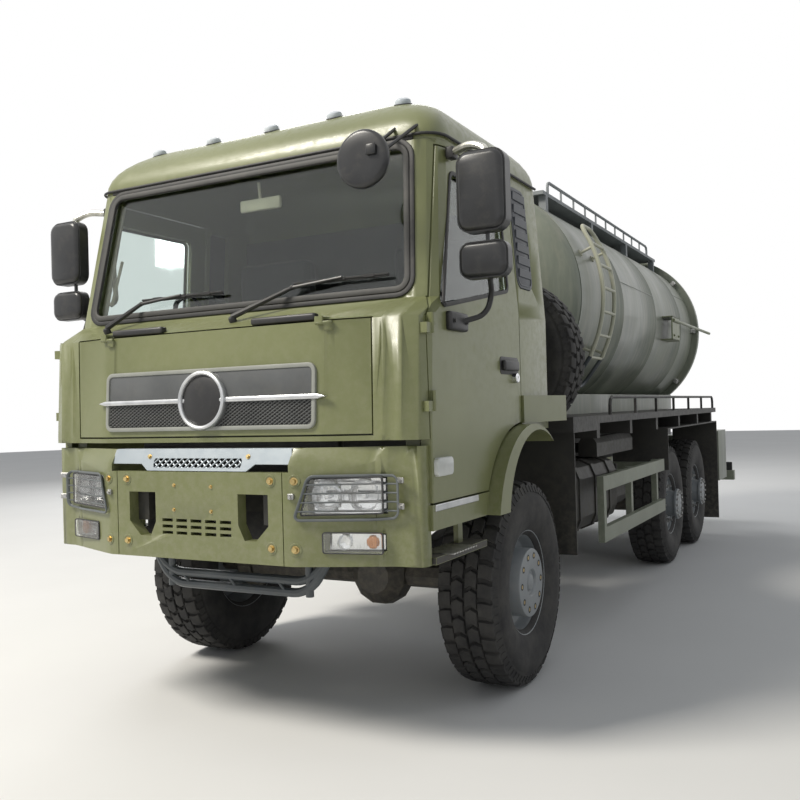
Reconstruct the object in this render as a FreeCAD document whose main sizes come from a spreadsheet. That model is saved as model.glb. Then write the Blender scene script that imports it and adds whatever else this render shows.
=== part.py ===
import FreeCAD, Part
import math
import os
import re
import Sketcher
from FreeCAD import Placement, Rotation, Vector

# Six-wheel-drive tanker truck with its cab over the engine, in millimetres.
# +X is the truck's left side, +Y points to its rear and +Z points up.
# The origin is on the ground, in the middle of the truck's length and width.
# Every size whose name ends in _y is measured back from the bumper's front face.

SIZES = {
    "overall_length": 9000,
    # wheels and hubs
    "tyre_diameter": 1120,
    "tyre_width": 345,
    "tread_width": 290,
    "shoulder_drop": 12,
    "lug_slope": 8,
    "lug_depth": 18,
    "centre_groove": 18,
    "bead_diameter": 500,
    "rim_diameter": 594,
    "rim_offset": 140,
    "rim_wall": 12,
    "rim_dish_depth": 100,
    "hub_diameter": 375,
    "hub_reach": 25,
    "rear_hub_diameter": 290,
    "rear_hub_reach": 95,
    "track_front": 1940,
    "track_rear": 1870,
    "front_axle_y": 1426,
    "middle_axle_y": 5502,
    "axle_spacing": 1310,
    "seat_gap": 0.3,
    # axles and springs
    "axle_tube_diameter": 150,
    "diff_diameter": 380,
    "diff_depth": 300,
    "diff_offset": 210,
    "drum_diameter": 410,
    "drum_depth": 60,
    "drum_setback": 200,
    "kingpin_spacing": 1490,
    "ball_diameter": 230,
    "knuckle_wall": 18,
    "knuckle_clearance": 5,
    "kingpin_diameter": 70,
    "pin_length": 62,
    "spindle_diameter": 110,
    "spring_width": 80,
    "leaf_thickness": 18,
    "spring_span": 1250,
    "spring_camber": 130,
    "spring_spacing": 860,
    "rear_spring_drop": 110,
    # chassis
    "rail_spacing": 780,
    "rail_height": 250,
    "rail_flange": 80,
    "rail_web": 10,
    "rail_top": 1240,
    "rail_front_y": 260,
    "rail_rear_y": 8860,
    "crossmember_depth": 120,
    "engine_width": 620,
    "engine_height": 600,
    "engine_length": 1100,
    "engine_front_y": 640,
    "engine_bottom": 770,
    "gear_case_y": 2950,
    "gear_case_length": 420,
    "gear_case_low": 720,
    "main_shaft_diameter": 110,
    "shaft_diameter": 80,
    "cab_mount_front_y": 360,
    "cab_mount_rear_y": 1720,
    "cab_mount_length": 110,
    # cab outline
    "cab_width": 2260,
    "gutter_width": 2150,
    "door_bottom": 1120,
    "cab_floor": 1400,
    "cab_wall": 50,
    "nose_y": 75,
    "nose_lean": 30,
    "nose_bottom": 1430,
    "nose_top": 1935,
    "nose_corner": 170,
    "screen_foot_y": 326,
    "screen_foot": 2035,
    "screen_head_y": 473,
    "gutter_height": 2813,
    "pillar_corner": 110,
    "cab_rear_y": 1850,
    "cab_rear_corner": 60,
    "roof_top": 3110,
    "roof_side_round": 430,
    "roof_front_round": 520,
    "roof_rear_round": 260,
    "roof_corner_growth": 160,
    "roof_seam": 2790,
    "gutter_proud": 10,
    "gutter_lip": 22,
    # cab openings, glass and doors
    "panel_gap": 8,
    "hinge_diameter": 18,
    "hinge_out": 14,
    "hinge_in": 8,
    "screen_width_low": 1980,
    "screen_width_high": 1860,
    "screen_low": 2075,
    "screen_high": 2765,
    "screen_corner": 60,
    "glass_thickness": 8,
    "glass_depth": 16,
    "door_inner_x": 1030,
    "door_front_y": 235,
    "door_front_head_y": 510,
    "door_pillar_y": 350,
    "door_rear_y": 1350,
    "door_rear_head_y": 1343,
    "door_head": 2755,
    "door_belt": 2000,
    "window_front_y": 372,
    "window_front_head_y": 585,
    "window_rear_y": 1215,
    "window_sill_front": 1995,
    "window_sill_rear": 2150,
    "window_head": 2650,
    "window_corner": 40,
    "quarter_front_y": 1395,
    "quarter_rear_y": 1590,
    "quarter_low": 2180,
    "quarter_high": 2735,
    "arch_y": 1360,
    "arch_height": 900,
    "arch_radius": 545,
    "arch_strip": 75,
    "wing_foot": 1400,
    "wing_head": 1590,
    "wing_rear_y": 1960,
    "wing_spread": 60,
    "sill_bottom": 1000,
    "sill_front_y": 230,
    "sill_rear_y": 880,
    "sill_depth": 70,
    "step_y": 250,
    "step_length": 570,
    "step_width": 130,
    "step_height": 850,
    "step_thickness": 32,
    "flap_width": 1800,
    # inside the cab
    "driver_x": -580,
    "steering_wheel_diameter": 450,
    "steering_wheel_rim": 26,
    "steering_wheel_y": 850,
    "steering_wheel_height": 2080,
    "steering_column_length": 430,
    "dash_front_y": 400,
    "dash_rear_y": 640,
    "dash_low": 1800,
    "dash_high": 1960,
    "dash_rise": 50,
    "seat_inner_x": 300,
    "seat_width": 560,
    "seat_front_y": 980,
    "seat_back_y": 1640,
    "seat_height": 1880,
    "seat_depth": 120,
    "seat_back_height": 2510,
    # grille, bumper and lamps
    "grille_width": 1260,
    "grille_low": 1466,
    "grille_high": 1744,
    "grille_proud": 12,
    "spear_height": 1600,
    "spear_length": 1370,
    "spear_width": 26,
    "spear_proud": 30,
    "ring_diameter": 286,
    "ring_width": 24,
    "ring_proud": 38,
    "ring_back_proud": 24,
    "bumper_width": 2230,
    "bumper_low": 850,
    "bumper_high": 1372,
    "bumper_brow": 1300,
    "bumper_brow_y": 45,
    "bumper_end_y": 225,
    "bumper_corner_width": 1900,
    "bumper_wall": 60,
    "bumper_seam_x": 500,
    "bumper_seam_width": 5,
    "bumper_seam_depth": 8,
    "bumper_opening_inner": 250,
    "bumper_opening_outer": 420,
    "bumper_opening_low": 953,
    "bumper_opening_high": 1165,
    "bumper_opening_slope": 70,
    "slot_length": 66,
    "slot_height": 15,
    "slot_pitch": 88,
    "slot_row_pitch": 30,
    "slot_middle": 1003,
    "mesh_width": 1070,
    "mesh_low": 1265,
    "mesh_high": 1372,
    "mesh_thickness": 8,
    "headlamp_inner_x": 622,
    "headlamp_outer_x": 992,
    "headlamp_low": 1080,
    "headlamp_high": 1240,
    "foglamp_inner_x": 702,
    "foglamp_outer_x": 985,
    "foglamp_low": 917,
    "foglamp_high": 994,
    "lamp_depth": 90,
    "lamp_guard_rod": 12,
    "lamp_guard_gap": 14,
    "lamp_guard_pitch": 44,
    "lamp_tab_height": 24,
    "lamp_tab_length": 52,
    "low_guard_tube": 28,
    "low_guard_width": 840,
    "low_guard_y": 300,
    "low_guard_height": 690,
    "roof_lamp_length": 90,
    "roof_lamp_height": 42,
    "roof_lamp_y": 690,
    "roof_lamp_pitch": 400,
    "turn_lamp_length": 150,
    "turn_lamp_height": 70,
    "turn_lamp_low": 1240,
    "turn_lamp_proud": 18,
    # mirrors
    "mirror_x": 1310,
    "mirror_y": 450,
    "mirror_width": 240,
    "mirror_depth": 85,
    "mirror_low": 2310,
    "mirror_high": 2680,
    "mirror_corner": 38,
    "lower_mirror_low": 2105,
    "lower_mirror_high": 2275,
    "mirror_arm": 26,
    "round_mirror_diameter": 260,
    "round_mirror_depth": 55,
    "round_mirror_x": 873,
    "round_mirror_y": 110,
    "round_mirror_height": 2636,
    "round_mirror_arm": 16,
    # wipers, cowl bars, handles and slatted panels
    "wiper_pivot_left": 90,
    "wiper_pivot_right": -750,
    "wiper_height": 1972,
    "wiper_reach_left": 535,
    "wiper_reach_right": 400,
    "wiper_rise": 185,
    "wiper_blade": 530,
    "wiper_rod": 14,
    "cowl_bar_length": 340,
    "cowl_bar_x": 440,
    "cowl_bar_low": 1947,
    "cowl_bar_height": 26,
    "handle_y": 1080,
    "handle_length": 190,
    "handle_low": 1725,
    "handle_height": 42,
    "handle_proud": 24,
    "slat_pitch": 62,
    "slat_height": 24,
    "slat_proud": 12,
    # fuel tank, silencer, air tanks, toolbox
    "fuel_tank_y": 2460,
    "fuel_tank_length": 1150,
    "fuel_tank_inner_x": 620,
    "fuel_tank_outer_x": 1050,
    "fuel_tank_low": 650,
    "fuel_tank_high": 1130,
    "fuel_tank_corner": 110,
    "fuel_band_y": 160,
    "fuel_band_width": 50,
    "fuel_band_thickness": 10,
    "fuel_rib_pitch": 380,
    "silencer_y": 3200,
    "silencer_length": 1080,
    "silencer_inner_x": 880,
    "silencer_outer_x": 1020,
    "silencer_low": 1145,
    "silencer_high": 1290,
    "air_tank_y": 3720,
    "air_tank_length": 600,
    "air_tank_diameter": 220,
    "air_tank_inner_x": 610,
    "air_tank_pitch": 250,
    "air_tank_height": 800,
    "toolbox_y": 7700,
    "toolbox_length": 570,
    "toolbox_depth": 420,
    "toolbox_low": 600,
    "toolbox_high": 1180,
    "body_width": 2440,
    # side guards, shelves and mudguards
    "side_guard_y": 2700,
    "side_guard_length": 1960,
    "side_guard_low": 595,
    "side_guard_high": 1042,
    "side_guard_rail": 100,
    "side_guard_depth": 45,
    "side_guard_arm_y": 3640,
    "side_guard_rear_arm_y": 4540,
    "side_guard_post": 60,
    "shelf_front_y": 2650,
    "shelf_rear_y": 7560,
    "shelf_arm_width": 70,
    "shelf_height": 1405,
    "shelf_thickness": 50,
    "shelf_rail_y": 3020,
    "shelf_rail_height": 125,
    "shelf_rail_tube": 26,
    "mudguard_front_y": 4850,
    "mudguard_rear_y": 7600,
    "mudguard_top": 1290,
    "mudguard_inner_x": 700,
    "mudguard_width": 500,
    "mudguard_wall": 12,
    "mudguard_low": 930,
    "flap_low": 180,
    "front_flap_y": 2130,
    "front_flap_inner_x": 650,
    "front_flap_width": 530,
    "front_flap_low": 600,
    "front_flap_height": 760,
    "front_flap_thickness": 12,
    "underrun_height": 120,
    "underrun_low": 510,
    "underrun_depth": 110,
    "underrun_width": 2400,
    # tank
    "tank_height": 2379,
    "tank_diameter": 1794,
    "tank_wall": 12,
    "tank_front_y": 3340,
    "tank_rear_y": 7960,
    "dish_depth": 250,
    "door_flange_diameter": 1934,
    "door_flange_thickness": 40,
    "tank_door_gap": 6,
    "lug_drop": 150,
    "tank_door_bulge": 190,
    "cradle_width": 1300,
    "cradle_high": 1620,
    "cradle_y": 3250,
    "cradle_setback": 140,
    "walkway_width": 1000,
    "walkway_plank": 260,
    "walkway_y": 3690,
    "walkway_length": 4160,
    "walkway_height": 3283,
    "walkway_thickness": 30,
    "walkway_rail_y": 3840,
    "walkway_rail_length": 3610,
    "walkway_rail_height": 111,
    "walkway_rail_tube": 26,
    "walkway_post": 14,
    "ladder_y": 3560,
    "ladder_width": 330,
    "ladder_tube": 34,
    "ladder_stand_off": 110,
    "manhole_y": 5600,
    "manhole_diameter": 460,
    "manhole_height": 90,
    "lid_thickness": 24,
    "arm_plate_y": 6230,
    "arm_plate_length": 370,
    "arm_plate_low": 2180,
    "arm_plate_high": 2430,
    "arm_plate_thickness": 14,
    "arm_tube": 34,
    "arm_height": 2385,
    "arm_rear_y": 8500,
    "clamp_width": 50,
    "clamp_length": 90,
    "clamp_height": 62,
    "outlet_diameter": 100,
    "outlet_wall": 8,
    "outlet_height": 1340,
    "outlet_riser_y": 7200,
    "outlet_rear_y": 8700,
    "outlet_length": 160,
    "outlet_flange_diameter": 220,
    "outlet_flange_thickness": 20,
    "outlet_bolt_circle": 180,
    "outlet_bolt_hole": 18,
    # spare wheel
    "spare_x": 590,
    "spare_y": 2420,
    "spare_height": 1850,
    "carrier_bar": 80,
    "carrier_post_height": 1100,
    "carrier_short_post_height": 740,
    "carrier_bar_high": 1900,
    "carrier_bar_low": 1500,
    "carrier_boss_diameter": 200,
}
LUG_COUNT = 10
LEAF_COUNT = 5
PLANK_FEET = 4
RAIL_POSTS = 9
SHELF_POSTS = 5
SLOT_COLUMNS = 5
SLOT_ROWS = 3
SLATS = 8
GUARD_RODS = 4
ROOF_LAMPS = 5
FUEL_BANDS = 3
BAR_SIDES = 8
BALL_STEPS = 4
HOUSING_SIDES = 12
TANK_SIDES = 32
CORNER_STEPS = 3
ROOF_STEPS = 4

doc = FreeCAD.newDocument("TankerTruck")
sheet = doc.addObject("Spreadsheet::Sheet", "Dimensions")
for row, (alias, size) in enumerate(SIZES.items(), 1):
    sheet.set(f"A{row}", alias)
    sheet.set(f"B{row}", str(size))
    sheet.setAlias(f"B{row}", alias)
doc.recompute()

nodes = {}


def bound(text):
    """An expression in which the sheet's own words refer to the sheet."""
    return re.sub(r"[a-z_]+", lambda word: f"Dimensions.{word[0]}" if word[0] in SIZES else word[0], text)


def value(text):
    return float(sheet.evalExpression(bound(text)))


def behind(text):
    """The model's Y of a length measured back from the bumper's front face."""
    return f"{text} - overall_length / 2"


def place(piece, x="0", y="0", z="0", turn=None):
    if turn:
        piece.Placement = Placement(Vector(), turn)
    for axis, text in zip("xyz", (x, y, z)):
        piece.setExpression(f"Placement.Base.{axis}", bound(text))
    return piece


def block(label, low, size):
    piece = doc.addObject("Part::Box", label)
    for side, text in zip(("Length", "Width", "Height"), size):
        piece.setExpression(side, bound(text))
    return place(piece, *low)


TURNS = {
    "x": Rotation(Vector(0, 1, 0), 90),
    "y": Rotation(Vector(1, 0, 0), -90),
    "z": Rotation(),
}


def rod(label, start, along, diameter, length, sides=BAR_SIDES):
    """A many-sided bar that starts at a point and runs along +X, +Y or +Z."""
    piece = doc.addObject("Part::Prism", label)
    piece.Polygon = sides
    piece.setExpression("Circumradius", bound(f"({diameter}) / 2"))
    piece.setExpression("Height", bound(length))
    return place(piece, *start, turn=TURNS[along])


def bore(label, start, along, diameter, length):
    """A true cylinder, for holes and round openings."""
    piece = doc.addObject("Part::Cylinder", label)
    piece.setExpression("Radius", bound(f"({diameter}) / 2"))
    piece.setExpression("Height", bound(length))
    return place(piece, *start, turn=TURNS[along])


def slab(label, plane, corners, depth, low=("0", "0", "0"), middle=False):
    """A padded sketch. Each corner is two expressions, and a third is its fillet's radius."""
    body = doc.addObject("PartDesign::Body", label)
    sketch = body.newObject("Sketcher::SketchObject", label + "_sketch")
    base = [item for item in body.Origin.OriginFeatures if item.Role == plane + "_Plane"][0]
    sketch.AttachmentSupport = [(base, "")]
    sketch.MapMode = "FlatFace"
    points = [Vector(value(corner[0]), value(corner[1]), 0) for corner in corners]
    for point, following in zip(points, points[1:] + points[:1]):
        sketch.addGeometry(Part.LineSegment(point, following), False)
    for index in range(len(points)):
        sketch.addConstraint(Sketcher.Constraint("Coincident", index, 2, (index + 1) % len(points), 1))
    for index, (point, corner) in enumerate(zip(points, corners)):
        for kind, number, text in (("DistanceX", point.x, corner[0]), ("DistanceY", point.y, corner[1])):
            place_of = sketch.addConstraint(Sketcher.Constraint(kind, -1, 1, index, 1, number))
            sketch.setExpression(f"Constraints[{place_of}]", bound(text))
    pad = body.newObject("PartDesign::Pad", label + "_pad")
    pad.Profile = sketch
    pad.setExpression("Length", bound(depth))
    pad.Midplane = middle
    pad.Reversed = plane == "XZ" and not middle
    doc.recompute()
    for radius in dict.fromkeys(corner[2] for corner in corners if len(corner) > 2):
        names = []
        for number, edge in enumerate(pad.Shape.Edges, 1):
            ends = [sketch.Placement.inverse().multVec(vertex.Point) for vertex in edge.Vertexes]
            for corner in corners:
                if len(corner) > 2 and corner[2] == radius:
                    at = Vector(value(corner[0]), value(corner[1]), 0)
                    if all(math.hypot(end.x - at.x, end.y - at.y) < 0.01 for end in ends):
                        names.append(f"Edge{number}")
        fillet = body.newObject("PartDesign::Fillet", label + "_fillet")
        fillet.Base = (pad, names)
        fillet.setExpression("Radius", bound(radius))
        doc.recompute()
        pad = fillet
    return place(body, *low)


def joined(label, pieces):
    whole = doc.addObject("Part::MultiFuse", label)
    whole.Shapes = pieces
    return whole


def cut(label, base, tools):
    whole = doc.addObject("Part::Cut", label)
    whole.Base = base
    whole.Tool = tools[0] if len(tools) == 1 else joined(label + "_tools", tools)
    return whole


def common(label, first, second):
    whole = doc.addObject("Part::Common", label)
    whole.Base = first
    whole.Tool = second
    return whole


def mirrored(label, source):
    whole = doc.addObject("Part::Mirroring", label)
    whole.Source = source
    whole.Normal = Vector(1, 0, 0)
    return whole


def group(label, pieces):
    """Like pieces of one body, as separate solids in one node."""
    whole = doc.addObject("Part::Compound", label)
    whole.Links = pieces
    return whole


def both_sides(label, left):
    return group(label, [left, mirrored(label + "_right", left)])


def modelled(label, shape):
    piece = doc.addObject("Part::Feature", label)
    piece.Shape = shape
    piece.Placement = shape.Placement
    return piece


def keep(piece):
    nodes[piece.Label] = piece
    return piece


def face(corners):
    """Flat faces over three or four corners, with repeated corners left out."""
    kept = [point for number, point in enumerate(corners) if (point - corners[number - 1]).Length > 0.001]
    if len(kept) < 3:
        return []
    if len(kept) == 4:
        normal = (kept[1] - kept[0]).cross(kept[2] - kept[0])
        if abs(normal.dot(kept[3] - kept[0])) > 0.001 * normal.Length:
            return face([kept[0], kept[1], kept[2]]) + face([kept[0], kept[2], kept[3]])
    return [Part.Face(Part.makePolygon(kept + kept[:1]))]


def band(ring, following):
    """The faces between two closed rings of as many points."""
    faces = []
    for number in range(len(ring)):
        after = (number + 1) % len(ring)
        faces += face([ring[number], ring[after], following[after], following[number]])
    return faces


def closed(faces):
    shell = Part.makeShell(faces)
    shell.sewShape()
    solid = Part.makeSolid(shell)
    if solid.Volume < 0:
        solid.reverse()
    return solid


def stacked(rings):
    """A solid through a stack of rings, with both ends capped."""
    faces = [Part.Face(Part.makePolygon(ring + ring[:1])) for ring in (rings[0], rings[-1])]
    for ring, following in zip(rings, rings[1:]):
        faces += band(ring, following)
    return closed(faces)


AXES = {"x": (0, 1, 2), "y": (1, 2, 0), "z": (2, 0, 1)}


def turned(profile, count, axis="x", centre=Vector()):
    """A flat-sided solid of revolution: each profile point is its place along the axis and its radius."""
    along, first, second = AXES[axis]
    rings = []
    for reach, radius in profile:
        ring = []
        for step in range(count):
            angle = 2 * math.pi * (step + 0.5) / count
            point = [0.0, 0.0, 0.0]
            point[along] = reach
            point[first] = radius * math.cos(angle)
            point[second] = radius * math.sin(angle)
            ring.append(centre + Vector(*point))
        rings.append(ring)
    faces = []
    for ring, following in zip(rings, rings[1:] + rings[:1]):
        faces += band(ring, following)
    return closed(faces)


def eased(points, radius):
    """A path whose corners are each replaced by three points along an arc."""
    path = [points[0]]
    for before, corner, after in zip(points, points[1:], points[2:]):
        incoming = (corner - before).normalize()
        outgoing = (after - corner).normalize()
        half = incoming.getAngle(outgoing) / 2
        reach = min(radius * math.tan(half), 0.45 * (corner - before).Length,
                    0.45 * (after - corner).Length)
        curve = reach / math.tan(half)
        inward = (outgoing - incoming).normalize()
        path.append(corner - incoming * reach)
        path.append(corner + inward * (curve / math.cos(half) - curve))
        path.append(corner + outgoing * reach)
    return path + [points[-1]]


def tube(points, diameter, radius, sides=6):
    """A many-sided bar along a bent path, mitred at each of its bends."""
    path = eased(points, radius) if radius else points
    heading = (path[1] - path[0]).normalize()
    helper = Vector(0, 0, 1) if abs(heading.z) < 0.9 else Vector(1, 0, 0)
    across = heading.cross(helper).normalize()
    upward = heading.cross(across)
    ring = []
    for step in range(sides):
        angle = 2 * math.pi * (step + 0.5) / sides
        ring.append(path[0] + (across * math.cos(angle) + upward * math.sin(angle)) * (diameter / 2))
    rings = [ring]
    for number in range(1, len(path)):
        heading = (path[number] - path[number - 1]).normalize()
        plane = heading
        if number + 1 < len(path):
            plane = (heading + (path[number + 1] - path[number]).normalize()).normalize()
        moved = []
        for point in rings[-1]:
            share = (path[number] - point).dot(plane) / heading.dot(plane)
            moved.append(point + heading * share)
        rings.append(moved)
    return stacked(rings)


# Tyres: flat-sided carcass with deep shoulder lugs, staggered from side to side

def tyre_shape():
    sides = 2 * LUG_COUNT
    pitch = 2 * math.pi / sides
    crown = value("tyre_diameter / 2") / math.cos(pitch / 2)
    root = crown - value("lug_depth")
    groove = value("centre_groove / 2")
    tread = value("tread_width / 2")
    half = value("tyre_width / 2")
    bead = value("rim_offset - rim_wall - seat_gap")
    hole = value("bead_diameter / 2 + seat_gap")
    grip = value("rim_diameter / 2") + 4
    shoulder = (tread, root - value("shoulder_drop"))
    gap_line = [(groove, root), shoulder]
    lug_line = [(groove, root), (groove, crown), (tread - value("lug_slope"), crown), shoulder]
    wall_line = [shoulder, (half, (grip + root) / 2), (bead, grip), (bead, hole)]

    def at(step, along, radius):
        angle = pitch * (step + 0.5)
        return Vector(along, radius * math.cos(angle), radius * math.sin(angle))

    def strip(step, line, side):
        faces = []
        for (near, low), (far, high) in zip(line, line[1:]):
            faces += face([at(step, side * near, low), at(step + 1, side * near, low),
                           at(step + 1, side * far, high), at(step, side * far, high)])
        return faces

    faces = []
    for step in range(sides):
        faces += strip(step, [(-groove, root), (groove, root)], 1)
        faces += strip(step, [(-bead, hole), (bead, hole)], 1)
        for side in (-1, 1):
            raised = (step + (side > 0)) % 2 == 0
            faces += strip(step, lug_line if raised else gap_line, side)
            faces += strip(step, wall_line, side)
            outline = [at(step, side * along, radius) for along, radius in lug_line]
            faces.append(Part.Face(Part.makePolygon(outline + outline[:1])))
    return closed(faces)


def rim_shape(hub_steps):
    """A steel rim with its dished disc and the hub that stands out through it."""
    edge = value("rim_offset")
    wall = value("rim_wall")
    lip = value("rim_diameter / 2")
    seat = value("bead_diameter / 2")
    disc = edge - value("rim_dish_depth")
    back = disc - 2 * wall
    steps = [(edge + value(reach), value(radius)) for reach, radius in hub_steps]
    return turned(steps + [
        (disc, steps[-1][1]), (disc, seat - 15),
        (edge, lip), (edge - wall, lip), (edge - wall, seat), (-edge, seat), (-edge, seat - wall),
        (back, seat - 15 - wall), (back, 0),
    ], 2 * LUG_COUNT)


tyre = tyre_shape()
flat_rim = rim_shape([("hub_reach", "0"), ("hub_reach", "hub_diameter / 2")])
deep_rim = rim_shape([("rear_hub_reach", "0"), ("rear_hub_reach", "rear_hub_diameter / 2")])


def wheel(word, spot, facing):
    """A tyre and its rim as two pieces that turn together."""
    rim = deep_rim if word.startswith(("middle", "rear")) else flat_rim
    for label, shape in ((f"tyre_{word}", tyre), (f"rim_{word}", rim)):
        piece = doc.addObject("Part::Feature", label)
        piece.Shape = shape.copy()
        piece.Placement = Placement(spot, facing)
        keep(piece)


for side, word, facing in ((1, "left", Rotation()), (-1, "right", Rotation(Vector(0, 0, 1), 180))):
    for name, track, axle_y in (
        ("front", "track_front", "front_axle_y"),
        ("middle", "track_rear", "middle_axle_y"),
        ("rear", "track_rear", "middle_axle_y + axle_spacing"),
    ):
        spot = Vector(side * value(track) / 2, value(behind(axle_y)), value("tyre_diameter / 2"))
        wheel(f"{name}_{word}", spot, facing)


# Axles: a tube with the round gear housing off centre

hub_back = "rim_offset - rim_dish_depth - 2 * rim_wall"
axle_height = "tyre_diameter / 2"


def driven_axle(label, axle_y, reach, heading):
    """A level axle whose gear housing has a tapered nose towards the rear (1) or the front (-1)."""
    beam = rod(label + "_beam", (f"-({reach})", behind(axle_y), axle_height), "x", "axle_tube_diameter",
               f"2 * ({reach})")
    radius = value("diff_diameter / 2")
    depth = value("diff_depth / 2")
    housing = turned([
        (-heading * depth, 0), (-heading * depth, radius * 0.55),
        (-heading * depth * 0.55, radius * 0.93),
        (0, radius), (heading * depth * 0.6, radius * 0.85), (heading * depth * 1.6, radius * 0.4),
        (heading * depth * 1.75, radius * 0.4), (heading * depth * 1.75, 0),
    ], HOUSING_SIDES, "y", Vector(value("diff_offset"), value(behind(axle_y)), value(axle_height)))
    return [beam, modelled(label + "_housing", housing)]


def ball_profile(radius, cap):
    """Half of a ball's outline about the kingpin, with flat caps where the pins bear."""
    line = [(-cap, 0)]
    start = math.acos(cap / radius)
    for step in range(BALL_STEPS + 1):
        angle = start + (math.pi - 2 * start) * step / BALL_STEPS
        line.append((-radius * math.cos(angle), radius * math.sin(angle)))
    return line + [(cap, 0)]


def at_ball(side):
    return Vector(side * value("kingpin_spacing / 2"), value(behind("front_axle_y")), value(axle_height))


ball_radius = value("ball_diameter / 2")
ball_cap = ball_radius * 0.93
cup_radius = (ball_radius + value("knuckle_clearance")) / math.cos(math.pi / BAR_SIDES)
cup_cap = cup_radius * 0.93
front_parts = driven_axle("front_axle", "front_axle_y", "kingpin_spacing / 2", 1)
for side, word in ((-1, "right"), (1, "left")):
    front_parts.append(modelled(f"ball_{word}",
                                turned(ball_profile(ball_radius, ball_cap), BAR_SIDES, "z",
                                       at_ball(side))))
keep(joined("front_axle", front_parts))
rear_reach = f"track_rear / 2 + {hub_back} - seat_gap"
rear_axles = []
for label, axle_y in (("middle_axle", "middle_axle_y"), ("rear_axle", "middle_axle_y + axle_spacing")):
    parts = driven_axle(label, axle_y, rear_reach, -1)
    for word, start in (("left", "track_rear / 2 - drum_setback"),
                        ("right", "-track_rear / 2 + drum_setback - drum_depth")):
        parts.append(rod(f"{label}_drum_{word}", (start, behind(axle_y), axle_height), "x",
                         "drum_diameter",
                         "drum_depth", HOUSING_SIDES))
    rear_axles.append(joined(label, parts))
keep(group("rear_axles", rear_axles))

# Steering knuckles: a cup round the axle's ball, kingpin bosses and a short spindle

cup = modelled("knuckle_cup", turned(ball_profile(cup_radius + value("knuckle_wall"),
                                                  cup_cap + value("knuckle_wall")),
                                     BAR_SIDES, "z", at_ball(1)))
cup_hollow = modelled("knuckle_hollow", turned(ball_profile(cup_radius, cup_cap), BAR_SIDES, "z",
                                               at_ball(1)))
cup_open = block("knuckle_open", ("0", behind("front_axle_y - ball_diameter"), "0"),
                 ("kingpin_spacing / 2 - kingpin_diameter / 2 - 5", "2 * ball_diameter",
                  "2 * tyre_diameter"))
spindle = rod("knuckle_spindle", (f"kingpin_spacing / 2 + {cup_radius}", behind("front_axle_y"),
                                  axle_height), "x",
              "spindle_diameter", f"track_front / 2 + {hub_back} - seat_gap - kingpin_spacing / 2 - {cup_radius}",
              HOUSING_SIDES)
pins = []
for word, low in (("low", f"{axle_height} - {ball_cap} - seat_gap - pin_length"),
                  ("high", f"{axle_height} + {ball_cap} + seat_gap")):
    pins.append(rod(f"kingpin_{word}", ("kingpin_spacing / 2", behind("front_axle_y"), low), "z",
                    "kingpin_diameter", "pin_length"))
knuckle = keep(joined("knuckle_left", [cut("knuckle_shell", cup, [cup_hollow, cup_open]),
                                       spindle] + pins))
keep(mirrored("knuckle_right", knuckle))


# Leaf springs: an arched pack whose leaves end in steps

def spring_shape(span, low, rise, steps=6):
    """A pack over a span in Y: its longest leaf at the far side of the arch from the axle."""
    thick = value("leaf_thickness")
    width = value("spring_width")

    def arch(y):
        return low + rise * (2 * y / span) ** 2

    lift = thick if rise < 0 else -thick
    line = [Vector(0, span * (step / steps - 0.5), 0) for step in range(steps + 1)]
    for point in line:
        point.z = arch(point.y)
    ends = [span / 2 * (1 - 0.14 * number) for number in range(LEAF_COUNT)]
    right = []
    for number, end in enumerate(ends):
        right.append(Vector(0, end, arch(end) + lift * number))
        right.append(Vector(0, end, arch(end) + lift * (number + 1)))
    left = [Vector(0, -point.y, point.z) for point in reversed(right)]
    middle = Vector(0, 0, arch(0) + lift * LEAF_COUNT)
    outline = line[1:-1] + right + [middle] + left
    return Part.Face(Part.makePolygon(outline + outline[:1])).extrude(Vector(width, 0, 0))


axle_top = value("tyre_diameter / 2 + axle_tube_diameter / 2")
pack_height = LEAF_COUNT * value("leaf_thickness")
front_line = axle_top + pack_height + value("seat_gap")
rear_line = axle_top + value("seat_gap + rear_spring_drop")
packs = []
for side in (1, -1):
    low_x = side * value("spring_spacing") / 2 - value("spring_width") / 2
    for span, low, rise, axle_y in (
        ("spring_span", front_line, "spring_camber", "front_axle_y"),
        ("axle_spacing", rear_line, "-rear_spring_drop", "middle_axle_y + axle_spacing / 2"),
    ):
        pack = spring_shape(value(span), low, value(rise))
        packs.append(pack.translated(Vector(low_x, value(behind(axle_y)), 0)))
keep(modelled("springs", Part.makeCompound(packs)))

# Chassis: two channel rails open to the middle, crossmembers and the engine

rail_low = "rail_top - rail_height"
channel = [
    ("0", "0"), ("rail_flange", "0"), ("rail_flange", "rail_height"), ("0", "rail_height"),
    ("0", "rail_height - rail_web"), ("rail_flange - rail_web", "rail_height - rail_web"),
    ("rail_flange - rail_web", "rail_web"), ("0", "rail_web"),
]
rail = slab("frame_rail", "XZ", channel, "rail_rear_y - rail_front_y",
            ("rail_spacing / 2 - rail_flange / 2", behind("rail_front_y"), rail_low))
keep(both_sides("frame_rails", rail))
brackets = []
between_webs = "(rail_spacing / 2 + rail_flange / 2 - rail_web)"
for number, at in enumerate(("rail_front_y + 20", "front_axle_y + 560", "3000", "4300",
                             "middle_axle_y - 60",
                             "middle_axle_y + axle_spacing - 60",
                             "rail_rear_y - crossmember_depth - 20")):
    brackets.append(block(f"crossmember_{number}", (f"-{between_webs}", behind(at), f"{rail_low} + 60"),
                          (f"2 * {between_webs}", "crossmember_depth", "rail_height - 120")))
keep(block("engine", ("-engine_width / 2", behind("engine_front_y"), "engine_bottom"),
           ("engine_width", "engine_length", "engine_height")))
rail_inner = "rail_spacing / 2 - rail_flange / 2"
frame_side = "rail_spacing / 2 + rail_flange / 2"
left_brackets = []
spring_end = f"{front_line + value('spring_camber')} + seat_gap"
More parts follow.
